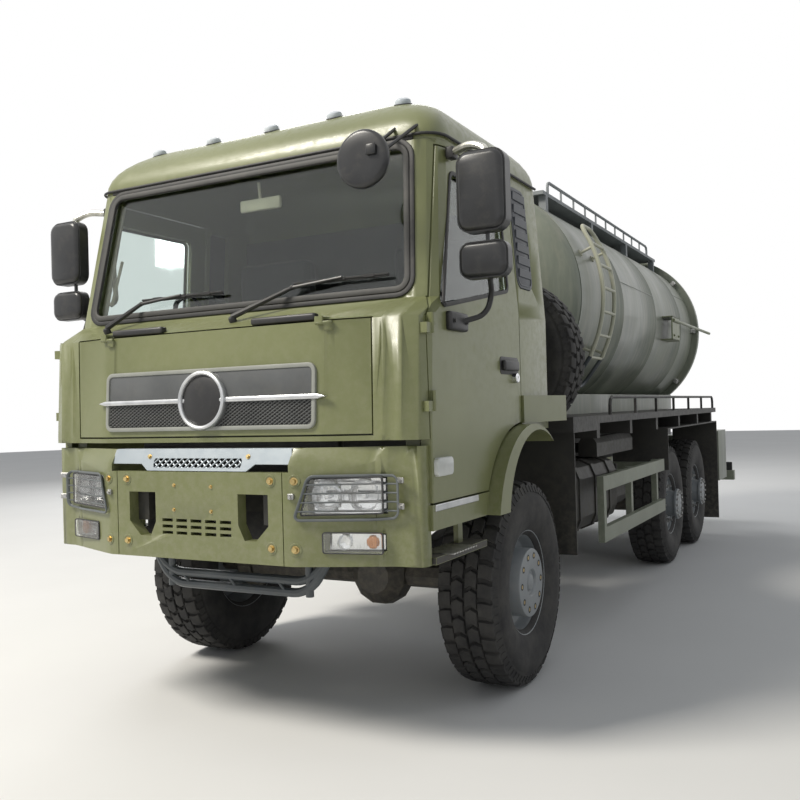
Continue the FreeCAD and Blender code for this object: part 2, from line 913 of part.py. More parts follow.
for sign in ("-", "+"):
    left_brackets.append(block(f"hanger_{sign}", ("spring_spacing / 2 - spring_width / 2",
                               behind(f"front_axle_y {sign} (spring_span / 2 - 30) - 30"), spring_end),
                               ("spring_width", "60", f"{rail_low} - ({spring_end})")))
pivot_low = f"{rear_line + pack_height} + seat_gap"
left_brackets.append(block("pivot", ("spring_spacing / 2 - spring_width / 2",
                                     behind("middle_axle_y + axle_spacing / 2 - 110"), pivot_low),
                           ("spring_width", "220", f"{rail_low} - ({pivot_low})")))
for number, at in enumerate(("cab_mount_front_y", "cab_mount_rear_y")):
    left_brackets.append(block(f"cab_mount_{number}", (rail_inner, behind(at), "rail_top"),
                               ("rail_flange", "cab_mount_length", "cab_floor - rail_top")))
left_brackets.append(block("bumper_bracket", (rail_inner, behind("bumper_wall"), f"{rail_low} + 30"),
                           ("rail_flange", "rail_front_y - bumper_wall", "rail_height - 60")))

# Drive line: a gear case under the frame and shafts to the three axles


def link(label, start, end, diameter):
    """A straight round bar between two points given as expressions."""
    ends = [Vector(*(value(text) for text in point)) for point in (start, end)]
    return modelled(label, tube(ends, diameter, 0, 12))


case = block("gear_case_block", ("-gear_case_length / 2 + 20", behind("gear_case_y"), "gear_case_low"),
             ("gear_case_length", "gear_case_length", f"{rail_low} + 60 - gear_case_low"))
shafts = [
    link("shaft_engine", ("0", behind("engine_front_y + engine_length + 2"), "engine_bottom + 110"),
         ("0", behind("gear_case_y"), "gear_case_low + 130"), value("main_shaft_diameter")),
    link("shaft_front", ("diff_offset", behind("front_axle_y + diff_depth / 2 * 1.75 + 8"), "565"),
         ("140", behind("gear_case_y"), "gear_case_low + 60"), value("shaft_diameter")),
    link("shaft_middle", ("140", behind("gear_case_y + gear_case_length"), "gear_case_low + 60"),
         ("diff_offset", behind("middle_axle_y - diff_depth / 2 * 1.75 - 6"), "565"),
         value("shaft_diameter")),
    link("shaft_rear", ("diff_offset", behind("middle_axle_y + diff_depth / 2 + seat_gap"), "560"),
         ("diff_offset", behind("middle_axle_y + axle_spacing - diff_depth / 2 * 1.75 - seat_gap"),
          "560"),
         value("shaft_diameter")),
]
keep(joined("drive_line", [case] + shafts))

# Cab: a rounded hull drawn through level outlines


def level(height, front, half, rear, front_corner, rear_corner):
    """A level outline with rounded corners, as a ring of points."""
    ring = []
    for x, y, radius, start in (
        (half - rear_corner, rear - rear_corner, rear_corner, 0),
        (rear_corner - half, rear - rear_corner, rear_corner, 90),
        (front_corner - half, front + front_corner, front_corner, 180),
        (half - front_corner, front + front_corner, front_corner, 270),
    ):
        for step in range(CORNER_STEPS + 1):
            angle = math.radians(start + 90 * step / CORNER_STEPS)
            ring.append(Vector(x + radius * math.cos(angle), y + radius * math.sin(angle), height))
    return ring


def hull_shape(inset, foot):
    """The cab's outside, drawn in by an inset, from a foot height to the crown."""
    def at(text):
        return value(behind(text)) + inset

    rear = value(behind("cab_rear_y")) - inset
    half = value("cab_width / 2") - inset
    gutter = value("gutter_width / 2") - inset
    big = max(value("nose_corner") - inset, 5)
    small = max(value("pillar_corner") - inset, 5)
    back = max(value("cab_rear_corner") - inset, 5)
    rings = [
        level(foot, at("nose_y"), half, rear, big, back),
        level(value("nose_bottom"), at("nose_y"), half, rear, big, back),
        level(value("nose_top"), at("nose_y + nose_lean"), half, rear, big, back),
        level(value("screen_foot"), at("screen_foot_y"), half, rear, small, back),
    ]
    rise = value("roof_top - gutter_height") - inset
    for step in range(ROOF_STEPS + 1):
        angle = math.pi / 2 * step / ROOF_STEPS
        inward = 1 - math.cos(angle)
        rings.append(level(
            value("gutter_height") + rise * math.sin(angle),
            at("screen_head_y") + value("roof_front_round") * inward,
            gutter - value("roof_side_round") * inward,
            rear - value("roof_rear_round") * inward,
            small + value("roof_corner_growth") * inward,
            back + value("roof_corner_growth") * inward,
        ))
    return stacked(rings)


cab_foot = value("door_bottom") - 10
hull = modelled("cab_hull", hull_shape(0, cab_foot))
hollow = modelled("cab_hollow", hull_shape(value("cab_wall"), cab_foot - 5))
skin_base = modelled("glass_outside", hull_shape(value("glass_depth"), cab_foot))
skin_core = modelled("glass_inside", hull_shape(value("glass_depth + glass_thickness"), cab_foot - 5))
wall = cut("cab_wall_all", hull, [hollow])
glass = cut("glass_all", skin_base, [skin_core])

wide = "cab_width"


def across(label, low, high):
    """A block over the whole cab between two heights."""
    return block(label, (f"-{wide}", behind("-500"), low), (f"2 * {wide}", "3500", f"{high} - ({low})"))


def side_prism(label, corners, start="door_inner_x - panel_gap"):
    """A prism through the cab's left side."""
    return slab(label, "YZ", corners, "cab_width", (start, "0", "0"))


def grown(corners, gap):
    """The same corners moved out from the outline's middle by a gap."""
    numbers = [(value(c[0]), value(c[1])) for c in corners]
    result = []
    for index, corner in enumerate(corners):
        before = numbers[index - 1]
        here = numbers[index]
        after = numbers[(index + 1) % len(numbers)]
        first = math.atan2(here[1] - before[1], here[0] - before[0]) - math.pi / 2
        second = math.atan2(after[1] - here[1], after[0] - here[0]) - math.pi / 2
        spread = 1 + math.cos(second - first)
        along = (math.cos(first) + math.cos(second)) / spread
        up = (math.sin(first) + math.sin(second)) / spread
        moved = (f"{corner[0]} + {along:.4f} * {gap}", f"{corner[1]} + {up:.4f} * {gap}")
        result.append(moved + (f"{corner[2]} + {gap}",) if len(corner) > 2 else moved)
    return [tuple(text.replace("+ -", "- ") for text in corner) for corner in result]


door_corners = [
    (behind("door_front_y"), "door_bottom"), (behind("door_rear_y"), "door_bottom"),
    (behind("door_rear_y"), "door_belt"), (behind("door_rear_head_y"), "door_head"),
    (behind("door_front_head_y"), "door_head"), (behind("door_pillar_y"), "screen_foot"),
    (behind("door_front_y"), "nose_top"),
]
window_corners = [
    (behind("window_front_y"), "window_sill_front"), (behind("window_rear_y"), "window_sill_rear"),
    (behind("window_rear_y"), "window_head", "window_corner"),
    (behind("window_front_head_y"), "window_head", "window_corner"),
]
quarter_corners = [
    (behind("quarter_front_y"), "quarter_low", "30"), (behind("quarter_rear_y"), "quarter_low", "30"),
    (behind("quarter_rear_y"), "quarter_high", "30"), (behind("quarter_front_y"), "quarter_high", "30"),
]
screen_corners = [
    ("-screen_width_low / 2", "screen_low", "screen_corner"),
    ("screen_width_low / 2", "screen_low", "screen_corner"),
    ("screen_width_high / 2", "screen_high", "screen_corner"),
    ("-screen_width_high / 2", "screen_high", "screen_corner"),
]
door_hole = side_prism("door_hole", grown(door_corners, "panel_gap"))
window_hole = side_prism("window_hole", window_corners)
quarter_hole = side_prism("quarter_hole", quarter_corners)
screen_hole = slab("screen_hole", "XZ", screen_corners, "700", ("0", behind("0"), "0"))
flap_hole = block("flap_hole", ("-flap_width / 2 - panel_gap", behind("-100"), "nose_bottom - panel_gap"),
                  ("flap_width + 2 * panel_gap", "nose_y + nose_lean + cab_wall + 110",
                   "nose_top - nose_bottom + 2 * panel_gap"))
shell_low = across("shell_low", "0", "cab_floor")
shell_high = across("shell_high", "roof_seam", "2 * roof_top")
floor_room = across("floor_room", "cab_floor", "cab_floor + cab_wall")
floor = common("cab_floor_plate", hollow, floor_room)
shell_base = joined("cab_shell_whole", [wall, floor])


def hinge_parts(name, axis_at, along, lengths, feet_fixed, foot_moving):
    """Two barrels end to end on one axis, with the feet that join them to their panels."""
    fixed_length, moving_length = lengths
    x, y, z = axis_at
    after = {"x": (f"{x} + {fixed_length} + seat_gap", y, z),
             "z": (x, y, f"{z} + {fixed_length} + seat_gap")}
    fixed = [rod(f"{name}_pin", axis_at, along, "hinge_diameter", fixed_length)]
    for number, foot in enumerate(feet_fixed):
        fixed.append(block(f"{name}_fixed_foot_{number}", *foot))
    moving = rod(f"{name}_barrel", after[along], along, "hinge_diameter", moving_length)
    return fixed, [moving, block(f"{name}_moving_foot", *foot_moving)]



fixed_feet = []
door_feet = []
for number, low in enumerate(("1520", "1860")):
    fixed, moving = hinge_parts(
        f"door_hinge_{number}", ("cab_width / 2 + hinge_out", behind("door_front_y + hinge_in"), low),
        "z",
        ("45", "45"),
        ((("cab_width / 2 - 30", behind("door_front_y - 45"), low),
          ("hinge_out + 30", "45 - panel_gap", "45")),
         (("cab_width / 2 + 3", behind("door_front_y - 45"), low),
          ("hinge_out - 3", "hinge_in + 45", "45"))),
        (("cab_width / 2 - 10", behind("door_front_y + hinge_in"), f"{low} + 45 + seat_gap"),
         ("hinge_out + 10", "45", "45")))
    fixed_feet += fixed
    door_feet += moving
flap_feet = []
for number, low in enumerate(("-680", "640")):
    fixed, moving = hinge_parts(
        f"flap_hinge_{number}", (low, behind("nose_y + nose_lean - hinge_out"), "nose_top - hinge_in"),
        "x",
        ("40", "40"),
        (((low, behind("nose_y + nose_lean - hinge_out - 8"), "nose_top - hinge_in"),
          ("40", "hinge_out", "hinge_in + panel_gap + 12")),
         ((low, behind("nose_y + nose_lean - hinge_out - 8"), "nose_top + panel_gap"),
          ("40", "hinge_out + 65", "12"))),
        ((f"{low} + 40 + seat_gap", behind("nose_y + nose_lean - hinge_out"), "nose_top - hinge_in - 35"),
         ("40", "hinge_out + 10", "35")))
    fixed_feet += fixed
    flap_feet += moving
shell = cut("cab_shell_open", shell_base, [
    shell_low, shell_high, door_hole, mirrored("door_hole_right", door_hole),
    quarter_hole, mirrored("quarter_hole_right", quarter_hole), screen_hole, flap_hole,
])
left_feet = [foot for foot in fixed_feet if foot.Label.startswith("door")]
keep(joined("cab_shell", [shell] + fixed_feet + [mirrored(foot.Label + "_right",
                                                          foot) for foot in left_feet]))
roof_lip = common("roof_lip", cut("lip_skin", modelled("lip_hull",
                                                       hull_shape(-value("gutter_proud"), cab_foot)),
                                                       [hull]),
                  across("lip_room", "roof_seam", "roof_seam + gutter_lip"))
keep(joined("cab_roof", [cut("roof_cap", wall, [across("below_roof", "0", "roof_seam")]), roof_lip]))
arch = bore("arch", ("0", behind("arch_y"), "arch_height"), "x", "2 * arch_radius", wide)
door_body = common("door_body", wall, side_prism("door_room", door_corners, "door_inner_x"))
handle_skin = cut("handle_skin", modelled("handle_hull", hull_shape(-value("handle_proud"), cab_foot)),
                  [hull])
handle = common("door_handle", handle_skin, joined("handle_room", [
    block("handle_bar", ("door_inner_x", behind("handle_y"), "handle_low"),
          ("200", "handle_length", "handle_height")),
    block("handle_lock", ("door_inner_x", behind("handle_y + handle_length - 40"), "handle_low - 60"),
          ("200", "34", "34")),
]))
turn_lamp_skin = cut("turn_lamp_skin", modelled("turn_lamp_hull",
                                                hull_shape(-value("turn_lamp_proud"), cab_foot)), [hull])
turn_lamp = common("turn_lamp", turn_lamp_skin,
                   block("turn_lamp_room", ("door_inner_x", behind("door_front_y + 22"), "turn_lamp_low"),
                         ("200", "turn_lamp_length", "turn_lamp_height")))
door_left = keep(joined("door_left", [cut("door_panel", door_body, [arch, window_hole]), handle,
                                      turn_lamp] + door_feet))
keep(mirrored("door_right", door_left))
pane = common("door_glass_left", glass, side_prism("pane_room", grown(window_corners, "-seat_gap")))
keep(pane)
keep(mirrored("door_glass_right", pane))
keep(common("windscreen", glass,
            slab("screen_room", "XZ", grown(screen_corners, "-seat_gap"), "700",
                 ("0", behind("0"), "0"))))
quarter = common("quarter_panel", wall, side_prism("quarter_room", grown(quarter_corners, "-seat_gap")))
flap_panel = common("flap_panel", wall,
                    block("flap_room", ("-flap_width / 2", behind("-100"), "nose_bottom"),
                          ("flap_width", "nose_y + nose_lean + cab_wall + 110",
                           "nose_top - nose_bottom")))
keep(joined("front_flap", [flap_panel] + flap_feet))
proud = modelled("proud_hull", hull_shape(-value("grille_proud"), cab_foot))
grille_skin = cut("grille_skin", proud, [hull])
grille_plate = common("grille_plate", grille_skin,
                      block("grille_room", ("-grille_width / 2", behind("-100"), "grille_low"),
                            ("grille_width", "300", "grille_high - grille_low")))
spear = slab("grille_spear", "XZ", [
    ("-spear_length / 2", "spear_height"), ("-spear_length / 2 + 60", "spear_height - spear_width / 2"),
    ("spear_length / 2 - 60", "spear_height - spear_width / 2"), ("spear_length / 2", "spear_height"),
    ("spear_length / 2 - 60", "spear_height + spear_width / 2"),
    ("-spear_length / 2 + 60", "spear_height + spear_width / 2"),
], "spear_proud + 40", ("0", behind("nose_y - spear_proud"), "0"))
ring_front = value(behind("nose_y - ring_proud"))
ring_back = value(behind("nose_y - ring_back_proud"))
ring_radius = value("ring_diameter / 2")
bare_ring = modelled("grille_ring", turned([
    (ring_back, 0), (ring_back, ring_radius - value("ring_width")),
    (ring_front, ring_radius - value("ring_width")),
    (ring_front, ring_radius - 8), (ring_front + 12, ring_radius), (ring_front + 80, ring_radius),
    (ring_front + 80, 0),
], 20, "y", Vector(0, 0, value("spear_height"))))
keep(joined("grille", [grille_plate, cut("grille_trim", joined("grille_trim_whole", [spear, bare_ring]),
                                         [hull])]))
proud_slats = cut("slat_skin", modelled("slat_hull", hull_shape(-value("slat_proud"), cab_foot)), [hull])
slats = []
for number in range(SLATS):
    slats.append(block(f"slat_{number}", ("door_inner_x", behind("quarter_front_y + 15"),
                       f"quarter_low + 35 + {number} * slat_pitch"),
                       ("200", "quarter_rear_y - quarter_front_y - 30", "slat_height")))
slatted = joined("slatted_quarter", [quarter, common("slats", proud_slats, joined("slat_blocks", slats))])
fittings = [slatted, mirrored("slatted_quarter_right", slatted)]

# Sills, steps and the flares over the front wheels

arch_cut = bore("arch_cut", ("0", behind("arch_y"), "arch_height"), "x", "2 * arch_radius - 19.4", wide)
sill = cut("sill_cut", joined("sill_whole", [
    block("sill_outer", ("cab_width / 2 - sill_depth", behind("sill_front_y"), "sill_bottom"),
          ("sill_depth", "sill_rear_y - sill_front_y", "door_bottom - panel_gap - sill_bottom")),
    block("sill_inner", ("cab_width / 2 - 2 * sill_depth", behind("sill_front_y + 30"), "sill_bottom"),
          ("sill_depth", "sill_rear_y - sill_front_y - 60", "cab_floor - sill_bottom")),
]), [arch_cut])
step = joined("side_step", [
    sill,
    block("step_plate", ("cab_width / 2 - step_width", behind("step_y"), "step_height"),
          ("step_width", "step_length", "step_thickness")),
    block("step_bracket_front", ("cab_width / 2 - 110", behind("step_y + 60"), "step_height"),
          ("25", "50", "sill_bottom - step_height")),
    block("step_bracket_rear", ("cab_width / 2 - 110", behind("step_y + 420"), "step_height"),
          ("25", "50", "sill_bottom - step_height")),
])
keep(both_sides("cab_steps", step))
flare_ring = bore("flare_ring", ("cab_width / 2 - 130", behind("arch_y"), "arch_height"), "x",
                  "2 * arch_radius - 20", "200")
flare_hole = bore("flare_hole", ("0", behind("arch_y + 70"), "arch_height + 40"), "x",
                  "2 * arch_radius - 2 * arch_strip - 16", wide)
flare_below = block("flare_below", ("0", behind("0"), "0"), (wide, "4000", "sill_bottom"))
flare_behind = block("flare_behind", ("0", behind("arch_y + 330"), "0"), (wide, "1000", "2000"))
flare_above = block("flare_above", ("0", behind("0"), "cab_floor"),
                    ("cab_width / 2 + seat_gap", "4000", "600"))
flare = cut("flare", flare_ring, [flare_hole, flare_below, flare_behind, flare_above])
wing = slab("wing", "XY", [
    ("cab_width / 2 + seat_gap", behind("door_rear_y + panel_gap")),
    ("cab_width / 2 + 14", behind("door_rear_y + panel_gap")),
    ("cab_width / 2 + wing_spread", behind("wing_rear_y")),
    ("cab_width / 2 + wing_spread - 25", behind("wing_rear_y")),
    ("cab_width / 2 + seat_gap", behind("cab_rear_y - 80")),
], "wing_head - wing_foot - 40", ("0", "0", "wing_foot + 40"))
keep(both_sides("wheel_flares", joined("flares_left", [flare, wing])))

# Cab inside: dashboard with the steering wheel, and seats

wheel_turn = Rotation(Vector(1, 0, 0), -35)
grip = value("steering_wheel_rim / 2")
middle = value("steering_wheel_diameter / 2")
ring = modelled("steering_ring", turned(
    [(grip * math.cos(angle), middle + grip * math.sin(angle)) for angle in (0, math.pi / 2, math.pi,
                                                                             3 * math.pi / 2)],
    16, "z"))
wheel_spot = ("driver_x", behind("steering_wheel_y"), "steering_wheel_height")
place(ring, *wheel_spot, wheel_turn)
spokes = joined("steering_spokes", [
    block("steering_spoke", ("-steering_wheel_diameter / 2 + 10", "-25", "-8"),
          ("steering_wheel_diameter - 20", "50", "16")),
    rod("steering_column", ("0", "0", "-steering_column_length"), "z", "60", "steering_column_length"),
])
place(spokes, *wheel_spot, wheel_turn)
board = slab("dashboard_body", "YZ", [
    (behind("dash_front_y"), "cab_floor + cab_wall"),
    (behind("dash_rear_y - 80"), "cab_floor + cab_wall"),
    (behind("dash_rear_y"), "dash_low"), (behind("dash_rear_y"), "dash_high"),
    (behind("dash_front_y"), "dash_high + dash_rise"),
], "cab_width - 2 * cab_wall - 60", middle=True)
keep(joined("dashboard", [board, ring, spokes]))
seats = []
for side, at in (("left", "seat_inner_x"), ("right", "-seat_inner_x - seat_width")):
    seats.append(slab(f"seat_{side}", "YZ", [
        (behind("seat_front_y + 60"), "cab_floor + cab_wall"),
        (behind("seat_back_y - 140"), "cab_floor + cab_wall"),
        (behind("seat_back_y"), "seat_back_height - 10"),
        (behind("seat_back_y - 100"), "seat_back_height"),
        (behind("seat_back_y - 210"), "seat_height + 20"), (behind("seat_front_y"), "seat_height"),
        (behind("seat_front_y"), "seat_height - seat_depth"),
    ], "seat_width", (at, "0", "0")))
keep(group("seats", seats))

# Bumper, its step mesh and the lamps at both ends

half_bumper = "bumper_width / 2"
side_x = "bumper_corner_width / 2"
bumper_corners = [
    (f"-{half_bumper}", behind("bumper_end_y")), (f"-{half_bumper}", behind("165"), "70"),
    (f"-{side_x}", behind("0"), "70"), (side_x, behind("0"), "70"), (half_bumper, behind("165"), "70"),
    (half_bumper, behind("bumper_end_y")), (f"{half_bumper} - bumper_wall", behind("bumper_end_y")),
    (f"{half_bumper} - bumper_wall", behind("190")), (f"{side_x} - 25", behind("bumper_wall")),
    (f"-{side_x} + 25", behind("bumper_wall")), (f"-{half_bumper} + bumper_wall", behind("190")),
    (f"-{half_bumper} + bumper_wall", behind("bumper_end_y")),
]
bumper_band = slab("bumper_band", "XY", bumper_corners, "bumper_high - bumper_low",
                   ("0", "0", "bumper_low"))
brow = slab("bumper_brow_cut", "YZ", [
    (behind("-100"), "bumper_brow"), (behind("0"), "bumper_brow"),
    (behind("bumper_brow_y"), "bumper_high"),
    (behind("bumper_brow_y"), "bumper_high + 20"), (behind("-100"), "bumper_high + 20"),
], "bumper_width + 100", middle=True)
mesh_room = block("mesh_room", ("-mesh_width / 2 - seat_gap", behind("-10"), "mesh_low"),
                  ("mesh_width + 2 * seat_gap", "400", "400"))
lamp_holes = []
lamps = []
for name in ("headlamp", "foglamp"):
    for side in ("", "-"):
        low_x = f"{name}_inner_x - seat_gap" if not side else f"-{name}_outer_x - seat_gap"
        lamp_holes.append(block(f"{name}_hole{side}", (low_x, behind("-50"), f"{name}_low - seat_gap"),
                                (f"{name}_outer_x - {name}_inner_x + 2 * seat_gap", "250",
                                 f"{name}_high - {name}_low + 2 * seat_gap")))
    lamps.append(block(f"{name}_left", (f"{name}_inner_x", behind("38"), f"{name}_low"),
                       (f"{name}_outer_x - {name}_inner_x", "lamp_depth", f"{name}_high - {name}_low")))
lamps.append(block("tail_lamp", ("underrun_width / 2 - 350",
                                 behind("overall_length - underrun_depth + 20"),
                                 "underrun_low + underrun_height"), ("330", "70", "110")))
opening = slab("bumper_opening", "XZ", [
    ("bumper_opening_inner", "bumper_opening_high"),
    ("bumper_opening_inner", "bumper_opening_low + bumper_opening_slope"),
    ("bumper_opening_inner + bumper_opening_slope / 2", "bumper_opening_low"),
    ("bumper_opening_outer - bumper_opening_slope", "bumper_opening_low"),
    ("bumper_opening_outer", "bumper_opening_low + bumper_opening_slope"),
    ("bumper_opening_outer", "bumper_opening_high"),
], "bumper_wall + 40", ("0", behind("-20"), "0"))
bumper_cuts = [opening, mirrored("bumper_opening_right", opening)]
for row in range(SLOT_ROWS):
    for column in range(SLOT_COLUMNS):
        middle_x = f"{column - (SLOT_COLUMNS - 1) / 2} * slot_pitch"
        middle_z = f"slot_middle + {row - (SLOT_ROWS - 1) / 2} * slot_row_pitch"
        bumper_cuts.append(block(f"slot_{row}_{column}", (f"{middle_x} - slot_length / 2", behind("-20"),
                                 f"{middle_z} - slot_height / 2"),
                                 ("slot_length", "bumper_wall + 40", "slot_height")))
for side in ("", "-"):
    bumper_cuts.append(block(f"bumper_seam{side}", (f"{side}bumper_seam_x - bumper_seam_width / 2",
                             behind("bumper_seam_depth - 200"), "0"),
                             ("bumper_seam_width", "200", "bumper_brow")))
keep(cut("bumper", bumper_band, [brow, mesh_room] + lamp_holes + bumper_cuts))
clear_hull = modelled("clear_hull", hull_shape(-value("seat_gap"), cab_foot))
roof_lamps = []
for number in range(ROOF_LAMPS):
    middle_x = f"{number - (ROOF_LAMPS - 1) / 2} * roof_lamp_pitch"
    roof_lamps.append(block(f"roof_lamp_{number}", (f"{middle_x} - roof_lamp_length / 2",
                                                    behind("roof_lamp_y - roof_lamp_length / 2"),
                                                    "gutter_height"),
                            ("roof_lamp_length", "roof_lamp_length", "roof_top - gutter_height")))
roof_lamp_room = modelled("roof_lamp_room", hull_shape(-value("roof_lamp_height"), cab_foot))
roof_lamp_blocks = common("roof_lamp_blocks", group("roof_lamp_posts", roof_lamps), roof_lamp_room)
keep(group("lamps", [both_sides("side_lamps", group("lamps_left", lamps)),
                     cut("roof_lamps", roof_lamp_blocks, [clear_hull])]))

# Guards in front: the step plate, the bars under the bumper and the rods over each headlamp


def point(x, y, z):
    return Vector(value(x), value(behind(y)), value(z))


step_plate = block("step_mesh", ("-mesh_width / 2", behind("bumper_wall - mesh_thickness"), "mesh_low"),
                   ("mesh_width", "mesh_thickness", "mesh_high - mesh_low"))
low_guard = []
for number, height in enumerate(("low_guard_height - low_guard_tube",
                                 "low_guard_height + low_guard_tube")):
    low_guard.append(modelled(f"low_guard_bar_{number}", tube([
        point("-low_guard_width / 2 - 130", "low_guard_y", "bumper_low - seat_gap"),
        point("-low_guard_width / 2", "low_guard_y", height),
        point("low_guard_width / 2", "low_guard_y", height),
        point("low_guard_width / 2 + 130", "low_guard_y", "bumper_low - seat_gap"),
    ], value("low_guard_tube"), 60)))
for number, at in enumerate(("-spring_spacing / 2 - low_guard_tube / 2",
                             "spring_spacing / 2 - low_guard_tube / 2")):
    low_guard.append(block(f"low_guard_leg_{number}", (at, behind("low_guard_y - low_guard_tube / 2"),
                           "low_guard_height"), ("low_guard_tube", "low_guard_tube",
                                                 f"{rail_low} - seat_gap - low_guard_height")))
lamp_rods = []
rod_y = "-lamp_guard_gap - lamp_guard_rod / 2"
rod_end_x = "bumper_width / 2 + lamp_guard_gap + lamp_guard_rod / 2"
rod_end_y = "(bumper_width - bumper_corner_width) / 2"
for number in range(GUARD_RODS):
    height = f"(headlamp_low + headlamp_high) / 2 + {number - (GUARD_RODS - 1) / 2} * lamp_guard_pitch"
    lamp_rods.append(tube([
        point("headlamp_inner_x - 20", rod_y, height), point("bumper_corner_width / 2", rod_y, height),
        point(rod_end_x, rod_end_y, height),
    ], value("lamp_guard_rod"), 60, 4))
guard_span = f"{(GUARD_RODS - 1) / 2} * lamp_guard_pitch + lamp_guard_rod"
guard_middle = "(headlamp_low + headlamp_high) / 2"
for x, y in (("headlamp_inner_x - 20", rod_y), (rod_end_x, rod_end_y)):
    ends = [point(x, y, f"{guard_middle} - ({guard_span})"),
            point(x, y, f"{guard_middle} + {guard_span}")]
    lamp_rods.append(tube(ends, value("lamp_guard_rod"), 0, 4))
lamp_guard = modelled("lamp_guard_rods", lamp_rods[0].fuse(lamp_rods[1:]))
lamp_tabs = []
for word, height in (("low", f"{guard_middle} - ({guard_span})"),
                     ("high", f"{guard_middle} + {guard_span} - lamp_tab_height")):
    lamp_tabs.append(block(f"lamp_tab_{word}", ("headlamp_inner_x - 48", behind(rod_y), height),
                           ("28", "lamp_guard_gap + lamp_guard_rod / 2 - seat_gap", "lamp_tab_height")))
    lamp_tabs.append(block(f"lamp_side_tab_{word}",
                           ("bumper_width / 2 + seat_gap", behind(rod_end_y), height),
                           ("lamp_guard_gap + lamp_guard_rod", "lamp_tab_length", "lamp_tab_height")))
lamp_guard_left = joined("lamp_guard_left", [lamp_guard] + lamp_tabs)
keep(group("front_guards", [step_plate, joined("low_guard", low_guard), lamp_guard_left,
                            mirrored("lamp_guard_right", lamp_guard_left)]))

# Mirrors on the doors


def mirror_head(label, low, high):
    """A case whose four corners are each cut off twice."""
    middle = value("mirror_x")
    half_width = value("mirror_width / 2")
    corner = value("mirror_corner")
    bottom = value(low)
    top = value(high)
    rings = []
    for setback, inset in ((0, 0), (value("mirror_depth") * 0.6, 0),
                           (value("mirror_depth"), corner * 0.7)):
        ring = []
        for x, z, start in ((middle + half_width, top, 0), (middle - half_width, top, 90),
                            (middle - half_width, bottom, 180), (middle + half_width, bottom, 270)):
            inward_x = corner if x > middle else -corner
            inward_z = corner if z > middle_of(top, bottom) else -corner
            for angle in (start, start + 45, start + 90):
                turn = math.radians(angle)
                ring.append(Vector(x - inward_x + (corner - inset) * math.cos(turn),
                                   value(behind("mirror_y + mirror_depth / 2")) - setback,
                                   z - inward_z + (corner - inset) * math.sin(turn)))
        rings.append(ring)
    return modelled(label, stacked(rings))


def middle_of(high, low):
    return (high + low) / 2


mirror_rod = rod("mirror_rod", ("mirror_x", behind("mirror_y"), "lower_mirror_low + 40"), "z",
                 "mirror_arm",
                 "mirror_high - lower_mirror_low - 60")
lower_arm = modelled("lower_arm", tube([
    point("cab_width / 2 - 10", "510", "1950"), point("mirror_x - 60", "500", "1990"),
    point("mirror_x", "mirror_y", "2080"), point("mirror_x", "mirror_y", "lower_mirror_low + 60"),
], value("mirror_arm"), 40))
upper_arm = modelled("upper_arm", tube([
    point("gutter_width / 2 - 20", "580", "2735"), point("mirror_x - 60", "470", "2735"),
    point("mirror_x", "mirror_y", "mirror_high - 60"),
], value("mirror_arm"), 30))
mirror_left = keep(cut("mirror_left", joined("mirror_left_whole", [
    mirror_head("mirror_upper", "mirror_low", "mirror_high"),
    mirror_head("mirror_lower", "lower_mirror_low", "lower_mirror_high"),
    mirror_rod, lower_arm, upper_arm,
]), [clear_hull]))
keep(mirrored("mirror_right", mirror_left))


def wiper(label, pivot_x, reach):
    """An arm from its pivot to the blade that lies along the foot of the windscreen."""
    blade_x = f"{pivot_x} + {reach}"
    blade_z = "wiper_height + wiper_rise"
    parts = [
        tube([point(pivot_x, "100", "wiper_height - 6"), point(pivot_x, "240", "wiper_height + 20")],
             value("wiper_rod") * 2, 0),
        tube([point(pivot_x, "215", "wiper_height + 16"), point(blade_x, "322", blade_z)],
             value("wiper_rod"), 0),
        tube([point(f"{blade_x} - wiper_blade / 2", "330", f"{blade_z} - 8"),
              point(f"{blade_x} + wiper_blade / 2", "330", f"{blade_z} + 8")], value("wiper_rod"), 0),
    ]
    return cut(label, modelled(label + "_whole", parts[0].fuse(parts[1:])), [clear_hull])


for word in ("left", "right"):
    fittings.append(wiper(f"wiper_{word}", f"wiper_pivot_{word}", f"wiper_reach_{word}"))
for side in ("", "-"):
    cowl_block = block(f"cowl_block{side}", (f"{side}cowl_bar_x - cowl_bar_length / 2",
                                             behind("nose_y + nose_lean"),
                       "cowl_bar_low"), ("cowl_bar_length", "120", "cowl_bar_height"))
    fittings.append(cut(f"cowl_bar{side}", cowl_block, [clear_hull]))
round_mirror = turned([
    (0, 0), (0, value("round_mirror_diameter / 2 - 25")),
    (value("round_mirror_depth * 0.4"), value("round_mirror_diameter / 2")),
    (value("round_mirror_depth"), value("round_mirror_diameter / 2")), (value("round_mirror_depth"), 0),
], 12, "y", point("round_mirror_x", "round_mirror_y", "round_mirror_height"))
mirror_arms = [
    tube([point("round_mirror_x", "round_mirror_y + round_mirror_depth - 10", "round_mirror_height"),
          point("round_mirror_x", "round_mirror_y + 120", "round_mirror_height + 20"),
          point("round_mirror_x + 110", "roof_lamp_y - 200", "gutter_height + 55"),
          point("round_mirror_x + 110", "roof_lamp_y - 100", "gutter_height + 40")],
          value("round_mirror_arm"), 40),
    tube([point("round_mirror_x", "round_mirror_y + round_mirror_depth - 10", "round_mirror_height + 20"),
          point("round_mirror_x - 20", "screen_head_y + 120", "gutter_height + 110")],
          value("round_mirror_arm"), 0),
]
fittings.append(cut("round_mirror", modelled("round_mirror_whole", round_mirror.fuse(mirror_arms)),
                    [clear_hull]))
keep(group("cab_fittings", fittings))

# Tank: a hollow barrel with a dished front, a rear flange and a manhole neck


